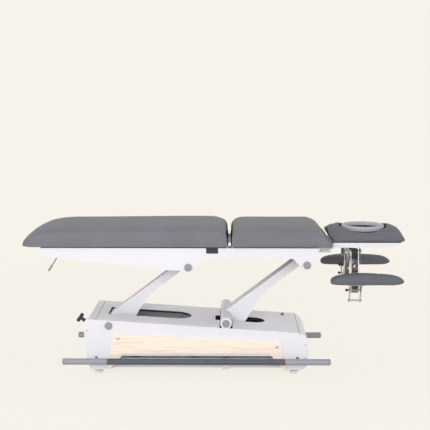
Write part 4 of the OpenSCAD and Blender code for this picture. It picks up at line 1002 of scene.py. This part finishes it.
class TABLE_OT_lock_handle(bpy.types.Operator):
    """T-handle of the lock at the foot end"""

    bl_idname = "table.lock_handle"
    bl_label = "T-handle"

    def execute(self, context):
        sizes = context.scene.table_fittings
        way = Vector((-math.cos(HANDLE_ANGLE), 0, math.sin(HANDLE_ANGLE)))
        across = Vector((math.sin(HANDLE_ANGLE), 0, math.cos(HANDLE_ANGLE)))
        root, r, half = Vector(HANDLE_ROOT), sizes.handle_r, sizes.handle_half
        stem = [(0, -0.029), (0.0072, -0.029), (0.0072, 0.0084), (0.0096, 0.0084), (0.0096, 0.0125),
                (r * 0.94, 0.0135), (r * 0.9, 0.032), (r * 0.8, HANDLE_OUT), (0, HANDLE_OUT)]
        bar = [(0, half), (r * 0.5, half), (r * 0.85, half - r * 0.2), (r, half - r * 0.6), (r * 0.93, half * 0.35)]
        bar = [(a, -z) for a, z in bar] + [(r * 0.9, 0)] + bar[::-1]
        bm = bmesh.new()
        turned(bm, stem, to_axis(root, way), 28)
        turned(bm, bar, to_axis(root + way * HANDLE_OUT, across), 28)
        handle = settle(bm, "t_handle", "black", "lock_handle")
        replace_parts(handle, "lock_handle")
        return {"FINISHED"}


class TABLE_OT_feet(bpy.types.Operator):
    """Ribbed levelling feet"""

    bl_idname = "table.feet"
    bl_label = "Levelling feet"

    def execute(self, context):
        low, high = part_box("levelling_feet")
        r = FOOT_RADIUS
        sole = [(0, 0), (r * 0.9, 0), (r * 0.94, 0.0022), (0, 0.0022)]
        hub = [(0, 0.0148), (r * 0.93, 0.0148), (r * 0.9, 0.0168), (r * 0.55, 0.018), (r * 0.5, 0.0255),
               (0.006, 0.0255), (0.006, 0.0315), (0, 0.0315)]
        bm = bmesh.new()
        for x in (low.x + r, high.x - r):
            for y in (low.y + r, high.y - r):
                # Ribs between the sole and the hub: every other corner is drawn in
                made = bmesh.ops.create_cone(bm, cap_ends=True, segments=64, radius1=r, radius2=r, depth=0.013)
                made = made["verts"]
                around = sorted(made, key=lambda v: (round(v.co.z, 4), math.atan2(v.co.y, v.co.x)))
                for i, vert in enumerate(around):
                    if i % 2:
                        vert.co.xy *= 0.955
                bmesh.ops.translate(bm, vec=(x, y, 0.0085), verts=made)
                for profile in (sole, hub):
                    turned(bm, profile, Matrix.Translation((x, y, 0)), 40)
        feet = settle(bm, "ribbed_feet", "foot", "base", angle=25)
        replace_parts(feet, "levelling_feet")
        return {"FINISHED"}


class TABLE_PT_panel(bpy.types.Panel):
    """Steps of the table"""

    bl_idname = "TABLE_PT_panel"
    bl_label = "Chiropractic Table"
    bl_space_type = "VIEW_3D"
    bl_region_type = "UI"
    bl_category = "Table"

    def draw(self, context):
        for group in ("table_studio", "table_paint", "table_upholstery", "table_fittings"):
            box = self.layout.box()
            settings = getattr(context.scene, group)
            for name in settings.__annotations__:
                box.prop(settings, name)
        for step in steps:
            self.layout.operator(step.bl_idname)


groups = {
    "table_upholstery": TableUpholstery,
    "table_paint": TablePaint,
    "table_fittings": TableFittings,
    "table_studio": TableStudio,
}
steps = (
    TABLE_OT_studio,
    TABLE_OT_finishes,
    TABLE_OT_long_cushions,
    TABLE_OT_head_cushion,
    TABLE_OT_arm_pads,
    TABLE_OT_armrest_details,
    TABLE_OT_cover_details,
    TABLE_OT_base_lining,
    TABLE_OT_lock_handle,
    TABLE_OT_feet,
    TABLE_OT_fittings,
)


def register():
    for kind in (*groups.values(), *steps, TABLE_PT_panel):
        bpy.utils.register_class(kind)
    for name, kind in groups.items():
        setattr(bpy.types.Scene, name, PointerProperty(type=kind))


def unregister():
    for name in groups:
        delattr(bpy.types.Scene, name)
    for kind in (TABLE_PT_panel, *reversed(steps), *groups.values()):
        bpy.utils.unregister_class(kind)


def main():
    register()
    for step in steps:
        group, name = step.bl_idname.split(".")
        if getattr(getattr(bpy.ops, group), name)() != {"FINISHED"}:
            raise RuntimeError(step.bl_label + " didn't finish")


if __name__ == "__main__":
    main()
